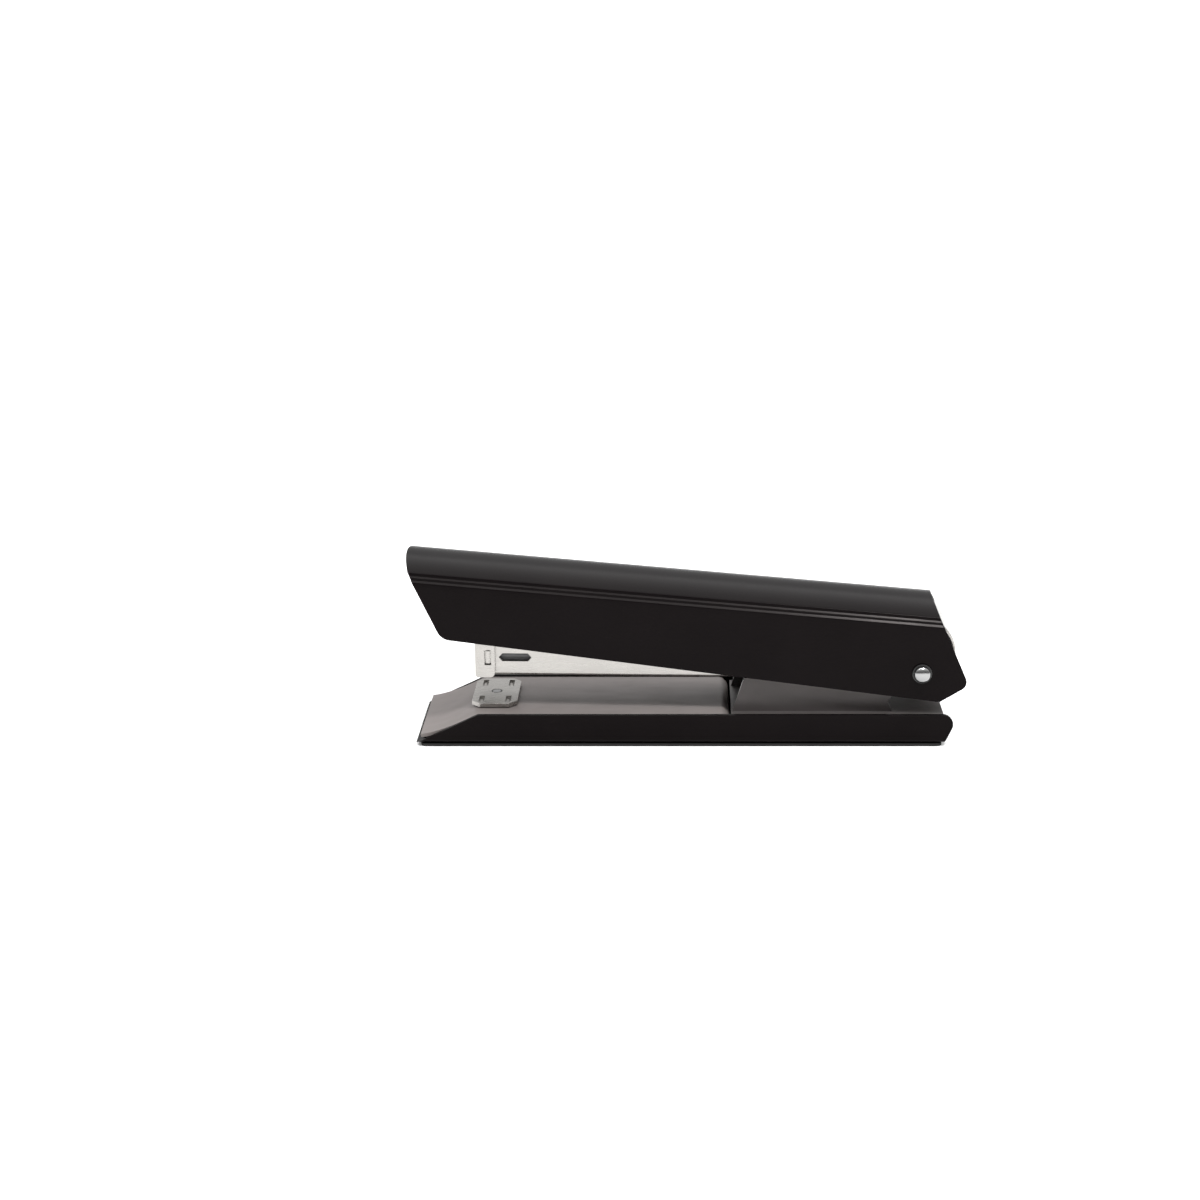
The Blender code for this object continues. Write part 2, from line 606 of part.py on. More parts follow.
def make_rail():
    """Inner rail that the staples straddle, slotted along its top for the follower."""
    outline = channel(RAIL_OUT, CHANNEL_BOTTOM + CHANNEL_T + GAP, RAIL_TOP, CHANNEL_T, up=False)
    rail = add("inner_rail", plate_mesh(outline, EXIT_REAR + GAP, RAIL_REAR, "X"), DARK_STEEL,
               MAGAZINE_FRAME)
    slot = box_mesh((-117.5 * MM, -1.7 * MM, 0.0), (-16.0 * MM, 1.7 * MM, RAIL_TOP + CUT))
    combine(rail, cutter("rail_slot", slot, MAGAZINE_FRAME))
    combine(rail, cutter("rail_cross", rod_mesh((CROSS_X, 0, ROD_Z), 2 * WIDE, CROSS_HOLE_R, sides=16),
                         MAGAZINE_FRAME))


def make_rod():
    """Guide rod, the block that holds its back end, and the cross pin through block and channel."""
    length = STOP_FRONT + 3.0 * MM + 118.5 * MM
    middle = (-118.5 * MM + length / 2, 0, ROD_Z)
    add("guide_rod", rod_mesh(middle, length, ROD_R, "X", 16), CHROME, MAGAZINE_FRAME)
    block = box_mesh((STOP_FRONT, -4.4 * MM, -2.0 * MM), (STOP_REAR, 4.4 * MM, 1.9 * MM))
    stop = add("rod_stop", block, SPRING_STEEL, MAGAZINE_FRAME)
    seat = rod_mesh((STOP_FRONT, 0, ROD_Z), 7.0 * MM, ROD_R + STACK_GAP, "X", 16)
    combine(stop, cutter("stop_seat", seat, MAGAZINE_FRAME))
    combine(stop, cutter("stop_cross", rod_mesh((CROSS_X, 0, ROD_Z), 2 * WIDE, CROSS_HOLE_R, sides=16),
                         MAGAZINE_FRAME))
    add("cross_pin", rod_mesh((CROSS_X, 0, ROD_Z), 2 * (CHANNEL_OUT + 0.4 * MM), CROSS_R, sides=16),
        CHROME, MAGAZINE_FRAME)


def make_follower():
    """Follower: a saddle over the rail, with a stem through its slot to a ring on the rod."""
    front, back = FOLLOWER_FRONT, FOLLOWER_FRONT + FOLLOWER_L
    low = CHANNEL_BOTTOM + CHANNEL_T + GAP
    saddle = plate_mesh(channel(FOLLOWER_OUT, low, RAIL_TOP + GAP + 1.2 * MM,
                                FOLLOWER_OUT - RAIL_OUT - GAP, up=False), front, back, "X")
    top = box_mesh((front, -RAIL_OUT, RAIL_TOP + GAP), (back, RAIL_OUT, RAIL_TOP + GAP + 1.0 * MM))
    stem = box_mesh((front + 4 * MM, -1.3 * MM, ROD_Z), (front + 10 * MM, 1.3 * MM, RAIL_TOP + 1 * MM))
    ring = rod_mesh((front + 7 * MM, 0, ROD_Z - 0.15 * MM), 6 * MM, 2.1 * MM, "X", 20)
    body = add("follower", joined(saddle, top, stem, ring), BLACK_PLASTIC, MAGAZINE_FRAME,
               origin=(front, 0, 0))
    bore = rod_mesh((front + 7 * MM, 0, ROD_Z), 20 * MM, ROD_R + STACK_GAP, "X", 16)
    combine(body, cutter("follower_bore", bore, MAGAZINE_FRAME))


def make_follower_spring():
    """Coil on the rod that pushes the follower forward."""
    start = FOLLOWER_FRONT + 10 * MM + GAP + SPRING_WIRE_R
    coil_object("follower_spring", (start, 0, ROD_Z), (STOP_FRONT - GAP - SPRING_WIRE_R, 0, ROD_Z),
                SPRING_R, SPRING_WIRE_R, SPRING_TURNS, SPRING_STEEL, MAGAZINE_FRAME)


# ---------------------------------------------------------------- handle

def cover_line():
    """Half of the cover's outer cross-section, from the crown's top down to the lower edge, (y, z)."""
    edge = RIDGE_Z - CROWN_RISE
    radius = (CROWN_HALF_W ** 2 + CROWN_RISE ** 2) / (2 * CROWN_RISE)
    crown = []
    for k in range(7):
        y = CROWN_HALF_W * k / 6
        crown.append((y, RIDGE_Z - radius + (radius ** 2 - y ** 2) ** 0.5))
    steps = [(0.05, -0.75), (0.5, -1.25), (0.5, -1.8), (1.05, -2.4), (1.15, -4.0)]
    shoulder = [(CROWN_HALF_W + y * MM, edge + z * MM) for y, z in steps]
    return crown + shoulder + [(COVER_HALF_W, -12.0 * MM)]


def handle_side():
    """Side outline of the cover: raked nose, low straight edge, short heel and raked back."""
    slope = (NOSE_FOOT[0] - NOSE_TOP_X) / (NOSE_FOOT[1] - RIDGE_Z)
    rake = (HEEL_REAR[0] - REAR_TOP_X) / (HEEL_REAR[1] - RIDGE_Z)
    above = RIDGE_Z + CUT
    return fillet([
        (NOSE_TOP_X + slope * CUT, above, 0.0),
        (*NOSE_FOOT, 4.2 * MM),
        (*HEEL_FRONT, 0.5 * MM),
        (*HEEL_REAR, 2.6 * MM),
        (REAR_TOP_X + rake * CUT, above, 0.0),
    ], 6)


def make_cover():
    """Black sheet-steel cover: one folded skin, crowned on top, stepped along its shoulders."""
    half = cover_line()
    line = [(-y, z) for y, z in half[:0:-1]] + half
    mesh = bpy.data.meshes.new("handle_cover")
    shape = bmesh.new()
    front, back = NOSE_TOP_X - 4 * CUT, HEEL_REAR[0] + 2 * CUT
    rows = [[shape.verts.new((x, y, z)) for y, z in line] for x in (front, back)]
    for i in range(len(line) - 1):
        shape.faces.new((rows[0][i], rows[1][i], rows[1][i + 1], rows[0][i + 1]))
    bmesh.ops.recalc_face_normals(shape, faces=shape.faces)
    if sum(face.normal.z for face in shape.faces) < 0:
        bmesh.ops.reverse_faces(shape, faces=shape.faces)
    shape.to_mesh(mesh)
    shape.free()
    cover = add("handle_cover", mesh, BLACK_PAINT, HANDLE_FRAME)
    skin = cover.modifiers.new("sheet", "SOLIDIFY")
    skin.thickness = COVER_T
    skin.offset = -1.0
    skin.use_even_offset = True
    combine(cover, cutter("cover_side", plate_mesh(handle_side(), -WIDE, WIDE), HANDLE_FRAME),
            "INTERSECT")
    combine(cover, cutter("cover_bore", rod_mesh((0, 0, 0), 2 * WIDE, PIN_HOLE_R), HANDLE_FRAME))


def make_handle_frame():
    """Steel frame inside the cover, with long cheeks that turn on the pin."""
    low = -5.6 * MM
    front = -126.0 * MM
    drop, draw = 1.5 * MM, 1.0 * MM
    half = [(0.0, FRAME_TOP), (FRAME_OUT - draw, FRAME_TOP), (FRAME_OUT, FRAME_TOP - drop),
            (FRAME_OUT, low), (FRAME_OUT - FRAME_T, low),
            (FRAME_OUT - FRAME_T, FRAME_TOP - drop - 0.2 * MM),
            (FRAME_OUT - FRAME_T - 0.8 * draw, FRAME_TOP - FRAME_T), (0.0, FRAME_TOP - FRAME_T)]
    section = half[1:-1] + [(-y, z) for y, z in half[-2:0:-1]]
    frame = add("handle_frame", plate_mesh(section, front, 6.0 * MM, "X"), NICKEL, HANDLE_FRAME)
    boss = arc((0.0, 0.0), 5.4 * MM, -20, -150, 8)
    side = [(front - CUT, FRAME_TOP + CUT), (2.2 * MM, FRAME_TOP + CUT), (3.4 * MM, 6.0 * MM), *boss,
            (-34.0 * MM, 10.0 * MM), (front - CUT, 10.5 * MM)]
    combine(frame, cutter("frame_side", plate_mesh(side[::-1], -WIDE, WIDE), HANDLE_FRAME),
            "INTERSECT")
    combine(frame, cutter("frame_bore", rod_mesh((0, 0, 0), 2 * WIDE, PIN_HOLE_R), HANDLE_FRAME))
    for i, x in enumerate(FRAME_RIVETS_X):
        drill = rod_mesh((x, 0, FRAME_TOP), 6 * MM, FRAME_RIVET_HOLE_R, "Z", 16)
        combine(frame, cutter(f"frame_hole_{i}", drill, HANDLE_FRAME))


def make_blade():
    """Driver blade: a hard steel strip hung from the frame, which pushes the staple out."""
    plate_top = FRAME_TOP - FRAME_T - GAP
    flange = 0.9 * MM
    back = -110.0 * MM
    half = BLADE_T / 2
    side = [(BLADE_X - half, BLADE_FOOT), (BLADE_X + half, BLADE_FOOT),
            (BLADE_X + half, plate_top - flange), (back, plate_top - flange), (back, plate_top),
            (BLADE_X - half, plate_top)]
    blade = add("driver_blade", plate_mesh(side, -BLADE_HALF_W, BLADE_HALF_W), SPRING_STEEL,
                HANDLE_FRAME)
    drill = rod_mesh((FRAME_RIVETS_X[0], 0, plate_top), 6 * MM, FRAME_RIVET_HOLE_R, "Z", 16)
    combine(blade, cutter("blade_hole", drill, HANDLE_FRAME))


def make_handle_spring():
    """Leaf spring under the frame that holds the handle up off the magazine."""
    seat = FRAME_TOP - FRAME_T - GAP - LEAF_T / 2
    drop = HANDLE_LEAF_DROP
    bend = [(-48.0 * MM - k * 4.0 * MM, seat - drop * (k / 9) ** 1.4) for k in range(1, 10)]
    line = [(-36.0 * MM, seat), (-48.0 * MM, seat), *bend, (-88.0 * MM, seat - drop + 0.4 * MM)]
    leaf = add("handle_spring", leaf_mesh(line[::-1], LEAF_T, HANDLE_LEAF_HALF_W), SPRING_STEEL,
               HANDLE_FRAME)
    drill = rod_mesh((FRAME_RIVETS_X[1], 0, seat), 4 * MM, FRAME_RIVET_HOLE_R, "Z", 16)
    combine(leaf, cutter("handle_leaf_hole", drill, HANDLE_FRAME))


def make_frame_rivets():
    """Rivets that hold the driver blade and the handle's leaf spring to the frame."""
    for name, x, under in (("driver_rivet", FRAME_RIVETS_X[0], 0.9 * MM),
                           ("spring_rivet", FRAME_RIVETS_X[1], LEAF_T)):
        foot = FRAME_TOP - FRAME_T - GAP - under - STACK_GAP
        crown = FRAME_TOP + STACK_GAP
        profile = [(0.0, crown + 0.6 * MM), (1.6 * MM, crown + 0.6 * MM), (2.1 * MM, crown),
                   (1.2 * MM, crown), (1.2 * MM, foot), (2.2 * MM, foot), (2.0 * MM, foot - 0.6 * MM),
                   (0.0, foot - 0.6 * MM)]
        rivet = turned(name, profile, CHROME, 16)
        rivet.parent = HANDLE_FRAME
        rivet.location.x = x


def make_end_plate():
    """Curved nickel plate that closes the back of the handle, just proud of the cover's end."""
    rake = (HEEL_REAR[0] - REAR_TOP_X) / (HEEL_REAR[1] - RIDGE_Z)
    top, foot, bulge = 14.0 * MM, 4.4 * MM, 1.5 * MM
    line = []
    for k in range(9):
        z = top + (foot - top) * k / 8
        edge = REAR_TOP_X + rake * (z - RIDGE_Z)
        line.append((edge - 0.9 * MM + bulge * sin(pi * k / 8), z))
    add("handle_end_plate", leaf_mesh(line, 0.7 * MM, 11.2 * MM), NICKEL, HANDLE_FRAME)


for make in (make_pad, make_tray, make_deck, make_bracket, make_rivets, make_return_spring, make_pin,
             make_anvil, make_channel, make_front_guide, make_rail, make_rod, make_follower,
             make_follower_spring, make_cover, make_handle_frame, make_blade, make_handle_spring,
             make_frame_rivets, make_end_plate):
    make()
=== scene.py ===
"""Looks of the desktop stapler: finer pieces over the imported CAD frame, materials, light and camera.

Metres, +Z up, nose towards -X. Pieces of the magazine and the handle are drawn level in a frame at
the hinge pin and then tilted, as their CAD nodes are.
"""
import json
from math import asin, atan2, cos, degrees, pi, radians, sin, tan

import bmesh
import bpy
from mathutils import Matrix, Vector


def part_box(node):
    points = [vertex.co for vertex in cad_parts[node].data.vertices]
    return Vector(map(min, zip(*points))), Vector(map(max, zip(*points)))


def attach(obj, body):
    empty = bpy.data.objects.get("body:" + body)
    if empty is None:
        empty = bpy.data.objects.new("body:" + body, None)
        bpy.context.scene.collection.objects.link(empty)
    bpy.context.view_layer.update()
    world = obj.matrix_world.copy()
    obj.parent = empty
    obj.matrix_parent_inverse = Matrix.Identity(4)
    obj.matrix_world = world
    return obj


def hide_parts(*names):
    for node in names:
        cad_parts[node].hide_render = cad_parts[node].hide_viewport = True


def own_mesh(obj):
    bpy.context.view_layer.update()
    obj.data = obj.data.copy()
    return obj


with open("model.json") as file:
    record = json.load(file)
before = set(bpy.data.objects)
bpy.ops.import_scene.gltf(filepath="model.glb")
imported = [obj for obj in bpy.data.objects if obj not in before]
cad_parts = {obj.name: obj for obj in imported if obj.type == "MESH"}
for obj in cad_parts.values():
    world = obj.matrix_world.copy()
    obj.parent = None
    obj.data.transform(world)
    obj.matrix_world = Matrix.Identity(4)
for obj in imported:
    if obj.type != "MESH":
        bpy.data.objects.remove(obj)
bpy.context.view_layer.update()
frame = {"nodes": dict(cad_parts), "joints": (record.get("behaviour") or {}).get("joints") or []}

MM = 0.001
CUT = 2.0 * MM                 # how far a cutter stands past what it cuts
JOINTS = {joint["name"]: joint for joint in frame["joints"]}
PIN = Vector(JOINTS["magazine_pivot"]["pos_m"])
SLIDE = JOINTS["follower_slide"]["axis"]
HANDLE_TILT = radians(5.1)
IN_BASE = Matrix.Identity(4)
IN_MAGAZINE = Matrix.Translation(PIN) @ Matrix.Rotation(atan2(-SLIDE[2], SLIDE[0]), 4, "Y")
IN_HANDLE = Matrix.Translation(PIN) @ Matrix.Rotation(HANDLE_TILT, 4, "Y")
PIN_R = 1.5 * MM
GAP = 0.3 * MM                 # clearance between pieces
PIN_HOLE_R = PIN_R + GAP
SHEET = 1.0 * MM
THROUGH = 20 * MM              # half the length of a cutter that runs right through the width


# ---------------------------------------------------------------- shapes

FACING = {
    "Y": Matrix.Rotation(pi / 2, 4, "X"),                                   # outline in x and z
    "X": Matrix.Rotation(pi / 2, 4, "Z") @ Matrix.Rotation(pi / 2, 4, "X"),  # outline in y and z
    "Z": Matrix.Identity(4),                                                # outline in x and y
}
ALONG = {"X": Vector((1, 0, 0)), "Y": Vector((0, 1, 0)), "Z": Vector((0, 0, 1))}


def fillet(corners, steps=8, closed=True):
    """Replaces each (x, y, radius) corner by an arc, and leaves radius 0 sharp."""
    outline = []
    last = len(corners) - 1
    for i, (x, y, radius) in enumerate(corners):
        here = Vector((x, y))
        if radius == 0.0 or (not closed and i in (0, last)):
            outline.append(here)
            continue
        to_last = (Vector(corners[i - 1][:2]) - here).normalized()
        to_next = (Vector(corners[(i + 1) % len(corners)][:2]) - here).normalized()
        half = to_last.angle(to_next) / 2
        start = here + to_last * radius / tan(half)
        end = here + to_next * radius / tan(half)
        centre = here + (to_last + to_next).normalized() * (radius / sin(half))
        sweep = (start - centre).angle_signed(end - centre)
        for k in range(steps + 1):
            outline.append(centre + Matrix.Rotation(-sweep * k / steps, 2) @ (start - centre))
    return outline


def arc(centre, radius, start, end, steps):
    """Points on an arc, angles in degrees from the first axis towards the second."""
    turns = [radians(start + (end - start) * k / steps) for k in range(steps + 1)]
    return [(centre[0] + radius * cos(t), centre[1] + radius * sin(t)) for t in turns]


def new_object(name, mesh):
    """A new object in the scene that holds this mesh or curve."""
    made = bpy.data.objects.new(name, mesh)
    bpy.context.scene.collection.objects.link(made)
    return made


def settled(thing):
    """The object's evaluated mesh, with its modifiers applied to it."""
    graph = bpy.context.evaluated_depsgraph_get()
    mesh = bpy.data.meshes.new_from_object(thing.evaluated_get(graph))
    if thing.type != "MESH":
        return mesh
    thing.modifiers.clear()
    thing.data = mesh
    return mesh


def prism(name, outline, low, high, axis="Y"):
    """A flat outline extruded along an axis from low to high."""
    curve = bpy.data.curves.new(name, "CURVE")
    curve.dimensions = "2D"
    curve.fill_mode = "BOTH"
    curve.extrude = (high - low) / 2
    spline = curve.splines.new("POLY")
    spline.points.add(len(outline) - 1)
    for point, place in zip(spline.points, outline):
        point.co = (place[0], place[1], 0.0, 1.0)
    spline.use_cyclic_u = True
    holder = new_object(name, curve)
    mesh = settled(holder)
    bpy.data.objects.remove(holder, do_unlink=True)
    shape = bmesh.new()
    shape.from_mesh(mesh)
    bmesh.ops.remove_doubles(shape, verts=shape.verts, dist=1e-7)
    bmesh.ops.dissolve_limit(shape, angle_limit=radians(0.1), verts=shape.verts, edges=shape.edges)
    place = Matrix.Translation(ALONG[axis] * (low + high) / 2) @ FACING[axis]
    bmesh.ops.transform(shape, matrix=place, verts=shape.verts)
    bmesh.ops.recalc_face_normals(shape, faces=shape.faces)
    shape.to_mesh(mesh)
    shape.free()
    return new_object(name, mesh)


def block(name, low, high):
    """A box between two corners, as a cutter or a lug to be joined."""
    low, high = Vector(low), Vector(high)
    outline = [(low.x, low.y), (high.x, low.y), (high.x, high.y), (low.x, high.y)]
    return prism(name, outline, low.z, high.z, "Z")


def rod(name, middle, length, radius, axis="Y", sides=48):
    """A round rod along one axis, as a cutter or a boss."""
    pick = {"X": (1, 2), "Y": (0, 2), "Z": (0, 1)}[axis]
    centre = (middle[pick[0]], middle[pick[1]])
    along = Vector(middle).dot(ALONG[axis])
    circle = arc(centre, radius, 0, 360, sides)[:-1]
    return prism(name, circle, along - length / 2, along + length / 2, axis)


def combine(target, tool, operation="DIFFERENCE"):
    """Cuts, joins or trims the target with a tool, which is used up."""
    step = target.modifiers.new("combine", "BOOLEAN")
    step.operation = operation
    step.solver = "EXACT"
    step.object = tool
    settled(target)
    bpy.data.objects.remove(tool, do_unlink=True)


def channel(half_width, low, high, sheet, bend, up=True):
    """The outline of a folded U of sheet with rounded bends, in y and z."""
    out, inner = half_width, half_width - sheet
    bottom, floor, rim = low, low + sheet, high
    if not up:
        bottom, floor, rim = high, high - sheet, low
    inside = max(bend - sheet, 0.2 * MM)
    return fillet([(-out, rim, 0.0), (-out, bottom, bend), (out, bottom, bend), (out, rim, 0.0),
                   (inner, rim, 0.0), (inner, floor, inside), (-inner, floor, inside),
                   (-inner, rim, 0.0)])


def strip(name, middle_line, thickness, half_width):
    """A strip of sheet, of this thickness, that follows a line of (x, z) points."""
    upper, lower = [], []
    for i, here in enumerate(middle_line):
        before = Vector(middle_line[max(i - 1, 0)])
        after = Vector(middle_line[min(i + 1, len(middle_line) - 1)])
        along = (after - before).normalized()
        side = Vector((-along.y, along.x)) * thickness / 2
        upper.append(Vector(here) + side)
        lower.append(Vector(here) - side)
    return prism(name, upper + lower[::-1], -half_width, half_width)


def turned(name, profile, steps=64):
    """A profile of (radius, height) points, top to bottom on the outer side, turned about Z."""
    mesh = bpy.data.meshes.new(name)
    shape = bmesh.new()
    row = [shape.verts.new((radius, 0.0, height)) for radius, height in profile]
    for first, second in zip(row, row[1:]):
        shape.edges.new((first, second))
    shape.to_mesh(mesh)
    shape.free()
    made = new_object(name, mesh)
    screw = made.modifiers.new("turn", "SCREW")
    screw.steps = steps
    screw.render_steps = steps
    screw.use_merge_vertices = True
    screw.merge_threshold = 1e-7
    settled(made)
    return made


def coil(name, start, end, spring, place, body, node):
    """A coil spring of round wire, wound between two points; spring has its radius, wire and turns."""
    start, end = Vector(start), Vector(end)
    along = end - start
    spin = along.to_track_quat("Z", "Y")
    per_turn = 24
    count = spring["turns"] * per_turn + 1
    curve = bpy.data.curves.new(name, "CURVE")
    curve.dimensions = "3D"
    curve.bevel_depth = spring["wire"]
    curve.bevel_resolution = 3
    curve.use_fill_caps = True
    spline = curve.splines.new("POLY")
    spline.points.add(count - 1)
    for k, point in enumerate(spline.points):
        turn = 2 * pi * k / per_turn
        share = k / (count - 1)
        step = Vector((spring["radius"] * cos(turn), spring["radius"] * sin(turn),
                       along.length * share))
        point.co = (*(place @ (start + spin @ step)), 1.0)
    holder = new_object(name, curve)
    mesh = settled(holder)
    bpy.data.objects.remove(holder, do_unlink=True)
    shape = bmesh.new()
    shape.from_mesh(mesh)
    bmesh.ops.remove_doubles(shape, verts=shape.verts, dist=1e-7)
    shape.to_mesh(mesh)
    shape.free()
    for face in mesh.polygons:
        face.use_smooth = True
    mesh.materials.clear()
    mesh.materials.append(STEEL)
    made = new_object(name, mesh)
    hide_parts(node)
    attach(made, body)
    return made


def dress(piece, node, body, look, place=IN_BASE, edge=0.12 * MM, angle=32):
    """Rounds a piece's edges, gives it its material, and lets it stand for a CAD node."""
    mesh = piece.data
    mesh.transform(place)
    mesh.update()
    step = piece.modifiers.new("edge", "BEVEL")
    step.width = edge
    step.segments = 3
    step.limit_method = "ANGLE"
    step.angle_limit = radians(angle)
    step.use_clamp_overlap = True
    step.harden_normals = True
    step.miter_outer = "MITER_ARC"
    for face in mesh.polygons:
        face.use_smooth = True
    mesh.set_sharp_from_angle(angle=radians(angle))
    mesh.materials.clear()
    mesh.materials.append(look)
    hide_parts(node)
    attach(piece, body)


# ---------------------------------------------------------------- materials

WARM_GLOSS = (1.0, 0.93, 0.915, 1.0)


def node_material(name, color, roughness, metallic=0.0, specular=0.5):
    """A Principled material, with its colour left to be wired by the caller."""
    made = bpy.data.materials.new(name)
    made.use_nodes = True
    shader = made.node_tree.nodes["Principled BSDF"]
    shader.inputs["Base Color"].default_value = (*color, 1.0)
    shader.inputs["Roughness"].default_value = roughness
    shader.inputs["Metallic"].default_value = metallic
    shader.inputs["Specular IOR Level"].default_value = specular
    return made, made.node_tree.nodes, made.node_tree.links, shader


def noise_field(nodes, links, scale, stretch=(1.0, 1.0, 1.0), detail=4.0):
    """Noise in object space, stretched along the object's axes."""
    where = nodes.new("ShaderNodeTexCoord")
    mapping = nodes.new("ShaderNodeMapping")
    mapping.inputs["Scale"].default_value = stretch
    noise = nodes.new("ShaderNodeTexNoise")
    noise.inputs["Scale"].default_value = scale
    noise.inputs["Detail"].default_value = detail
    links.new(where.outputs["Object"], mapping.inputs["Vector"])
    links.new(mapping.outputs["Vector"], noise.inputs["Vector"])
    return noise


def ranged(nodes, links, source, low, high, socket):
    """Sends a 0..1 field to a socket as a value between low and high."""
    step = nodes.new("ShaderNodeMapRange")
    step.inputs["From Min"].default_value = 0.3
    step.inputs["From Max"].default_value = 0.7
    step.inputs["To Min"].default_value = low
    step.inputs["To Max"].default_value = high
    links.new(source, step.inputs["Value"])
    links.new(step.outputs["Result"], socket)


def tinted(nodes, links, source, low, high, socket):
    """Sends a 0..1 field to a colour socket through a two-colour ramp."""
    ramp = nodes.new("ShaderNodeValToRGB")
    ramp.color_ramp.elements[0].position = 0.3
    ramp.color_ramp.elements[1].position = 0.7
    ramp.color_ramp.elements[0].color = (*low, 1.0)
    ramp.color_ramp.elements[1].color = (*high, 1.0)
    links.new(source, ramp.inputs["Fac"])
    links.new(ramp.outputs["Color"], socket)


def bumped(nodes, links, source, strength, distance, shader):
    """Sends a 0..1 field to the shader's normal as a small relief."""
    bump = nodes.new("ShaderNodeBump")
    bump.inputs["Strength"].default_value = strength
    bump.inputs["Distance"].default_value = distance
    links.new(source, bump.inputs["Height"])
    links.new(bump.outputs["Normal"], shader.inputs["Normal"])


def paint(name, dark, light, rough_low, rough_high, specular):
    """Sprayed enamel: slight drift of tone, patchy gloss, and fine orange peel."""
    made, nodes, links, shader = node_material(name, dark, rough_low, 0.0, specular)
    shader.inputs["Specular Tint"].default_value = WARM_GLOSS
    drift = noise_field(nodes, links, 60.0)
    tinted(nodes, links, drift.outputs["Fac"], dark, light, shader.inputs["Base Color"])
    gloss = noise_field(nodes, links, 220.0, (0.4, 1.0, 1.0))
    ranged(nodes, links, gloss.outputs["Fac"], rough_low, rough_high, shader.inputs["Roughness"])
    peel = noise_field(nodes, links, 1800.0, detail=2.0)
    bumped(nodes, links, peel.outputs["Fac"], 0.06, 0.02 * MM, shader)
    return made


def metal(name, dark, light, rough_low, rough_high, grain=(0.06, 1.0, 1.0), bump=0.12):
    """Plated or bright steel: a rolled grain along the sheet, which also varies the gloss."""
    made, nodes, links, shader = node_material(name, light, rough_low, 1.0)
    drift = noise_field(nodes, links, 45.0)
    tinted(nodes, links, drift.outputs["Fac"], dark, light, shader.inputs["Base Color"])
    lines = noise_field(nodes, links, 2600.0, grain, 3.0)
    ranged(nodes, links, lines.outputs["Fac"], rough_low, rough_high, shader.inputs["Roughness"])
    bumped(nodes, links, lines.outputs["Fac"], bump, 0.01 * MM, shader)
    return made


def grained(name, dark, light, roughness, specular, scale, strength):
    """Moulded plastic or rubber with a fine matt grain."""
    made, nodes, links, shader = node_material(name, dark, roughness, 0.0, specular)
    drift = noise_field(nodes, links, 90.0)
    tinted(nodes, links, drift.outputs["Fac"], dark, light, shader.inputs["Base Color"])
    ranged(nodes, links, drift.outputs["Fac"], roughness - 0.06, roughness + 0.06,
           shader.inputs["Roughness"])
    grain = noise_field(nodes, links, scale, detail=2.0)
    bumped(nodes, links, grain.outputs["Fac"], strength, 0.05 * MM, shader)
    return made


BLACK = paint("black_enamel", (0.0022, 0.0015, 0.0017), (0.0031, 0.0022, 0.0024), 0.20, 0.25, 0.05)
GREY = paint("grey_enamel", (0.140, 0.124, 0.119), (0.162, 0.145, 0.139), 0.40, 0.50, 0.30)
DARK = paint("dark_enamel", (0.045, 0.041, 0.040), (0.056, 0.051, 0.050), 0.36, 0.46, 0.35)
NICKEL = metal("nickel", (0.320, 0.308, 0.292), (0.358, 0.346, 0.329), 0.25, 0.31, bump=0.02)
CHROME = metal("chrome", (0.26, 0.26, 0.26), (0.32, 0.32, 0.32), 0.10, 0.16, (1.0, 1.0, 1.0), 0.03)
STEEL = metal("spring_steel", (0.40, 0.40, 0.41), (0.52, 0.52, 0.53), 0.25, 0.36)
DULL = metal("dull_steel", (0.16, 0.155, 0.15), (0.22, 0.215, 0.21), 0.34, 0.46)
PLASTIC = grained("black_plastic", (0.012, 0.012, 0.012), (0.018, 0.018, 0.018), 0.46, 0.4, 1500.0, 0.15)
PUSHER = grained("grey_plastic", (0.060, 0.060, 0.061), (0.080, 0.080, 0.081), 0.30, 0.5, 1500.0, 0.05)
RUBBER = grained("rubber", (0.010, 0.010, 0.010), (0.016, 0.016, 0.015), 0.72, 0.3, 900.0, 0.3)


# ---------------------------------------------------------------- base

TRAY_LOW, TRAY_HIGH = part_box("base_tray")
TRAY_BOTTOM = TRAY_LOW.z
TRAY_TOP = TRAY_HIGH.z
BASE_HALF_W = TRAY_HIGH.y
BASE_FRONT = TRAY_LOW.x
BASE_REAR = TRAY_HIGH.x
SLOPE_END = -56.8 * MM
FOOT_REAR = 70.7 * MM
REAR_LEAN = 1.35 * MM          # the rear outline's corner, before it is rounded back
TRAY_BUTTON_HOLE_R = 3.9 * MM

PAD_CORNER_R = 1.5 * MM
PAD_BUTTON_HOLE_R = 4.2 * MM
TREADS = 9
TREAD_FRONT = -38.0 * MM
TREAD_PITCH = 12.0 * MM
TREAD_WIDTH = 1.6 * MM
TREAD_HALF_L = 13 * MM
TREAD_DEPTH = 0.3 * MM

DECK_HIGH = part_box("base_deck")[1]
DECK_TOP = DECK_HIGH.z
DECK_FOOT = TRAY_BOTTOM + SHEET + GAP
RAMP_FRONT = -72.6 * MM
RAMP_REAR = -57.5 * MM
RAMP_HOLLOW = 1.45             # 1 would be a flat ramp
FLANGE_FRONT = -56.5 * MM
FLANGE_INSET = 0.02 * MM       # so the flange and the deck's edge share no plane
STEM_HOLE_R = 2.3 * MM

BRACKET_TOP = 8.3 * MM
RIVETS_X = (22.0 * MM, 50.0 * MM)
EAR_OUT = 11.0 * MM
EAR_T = 1.2 * MM
BOSS_R = 5.0 * MM

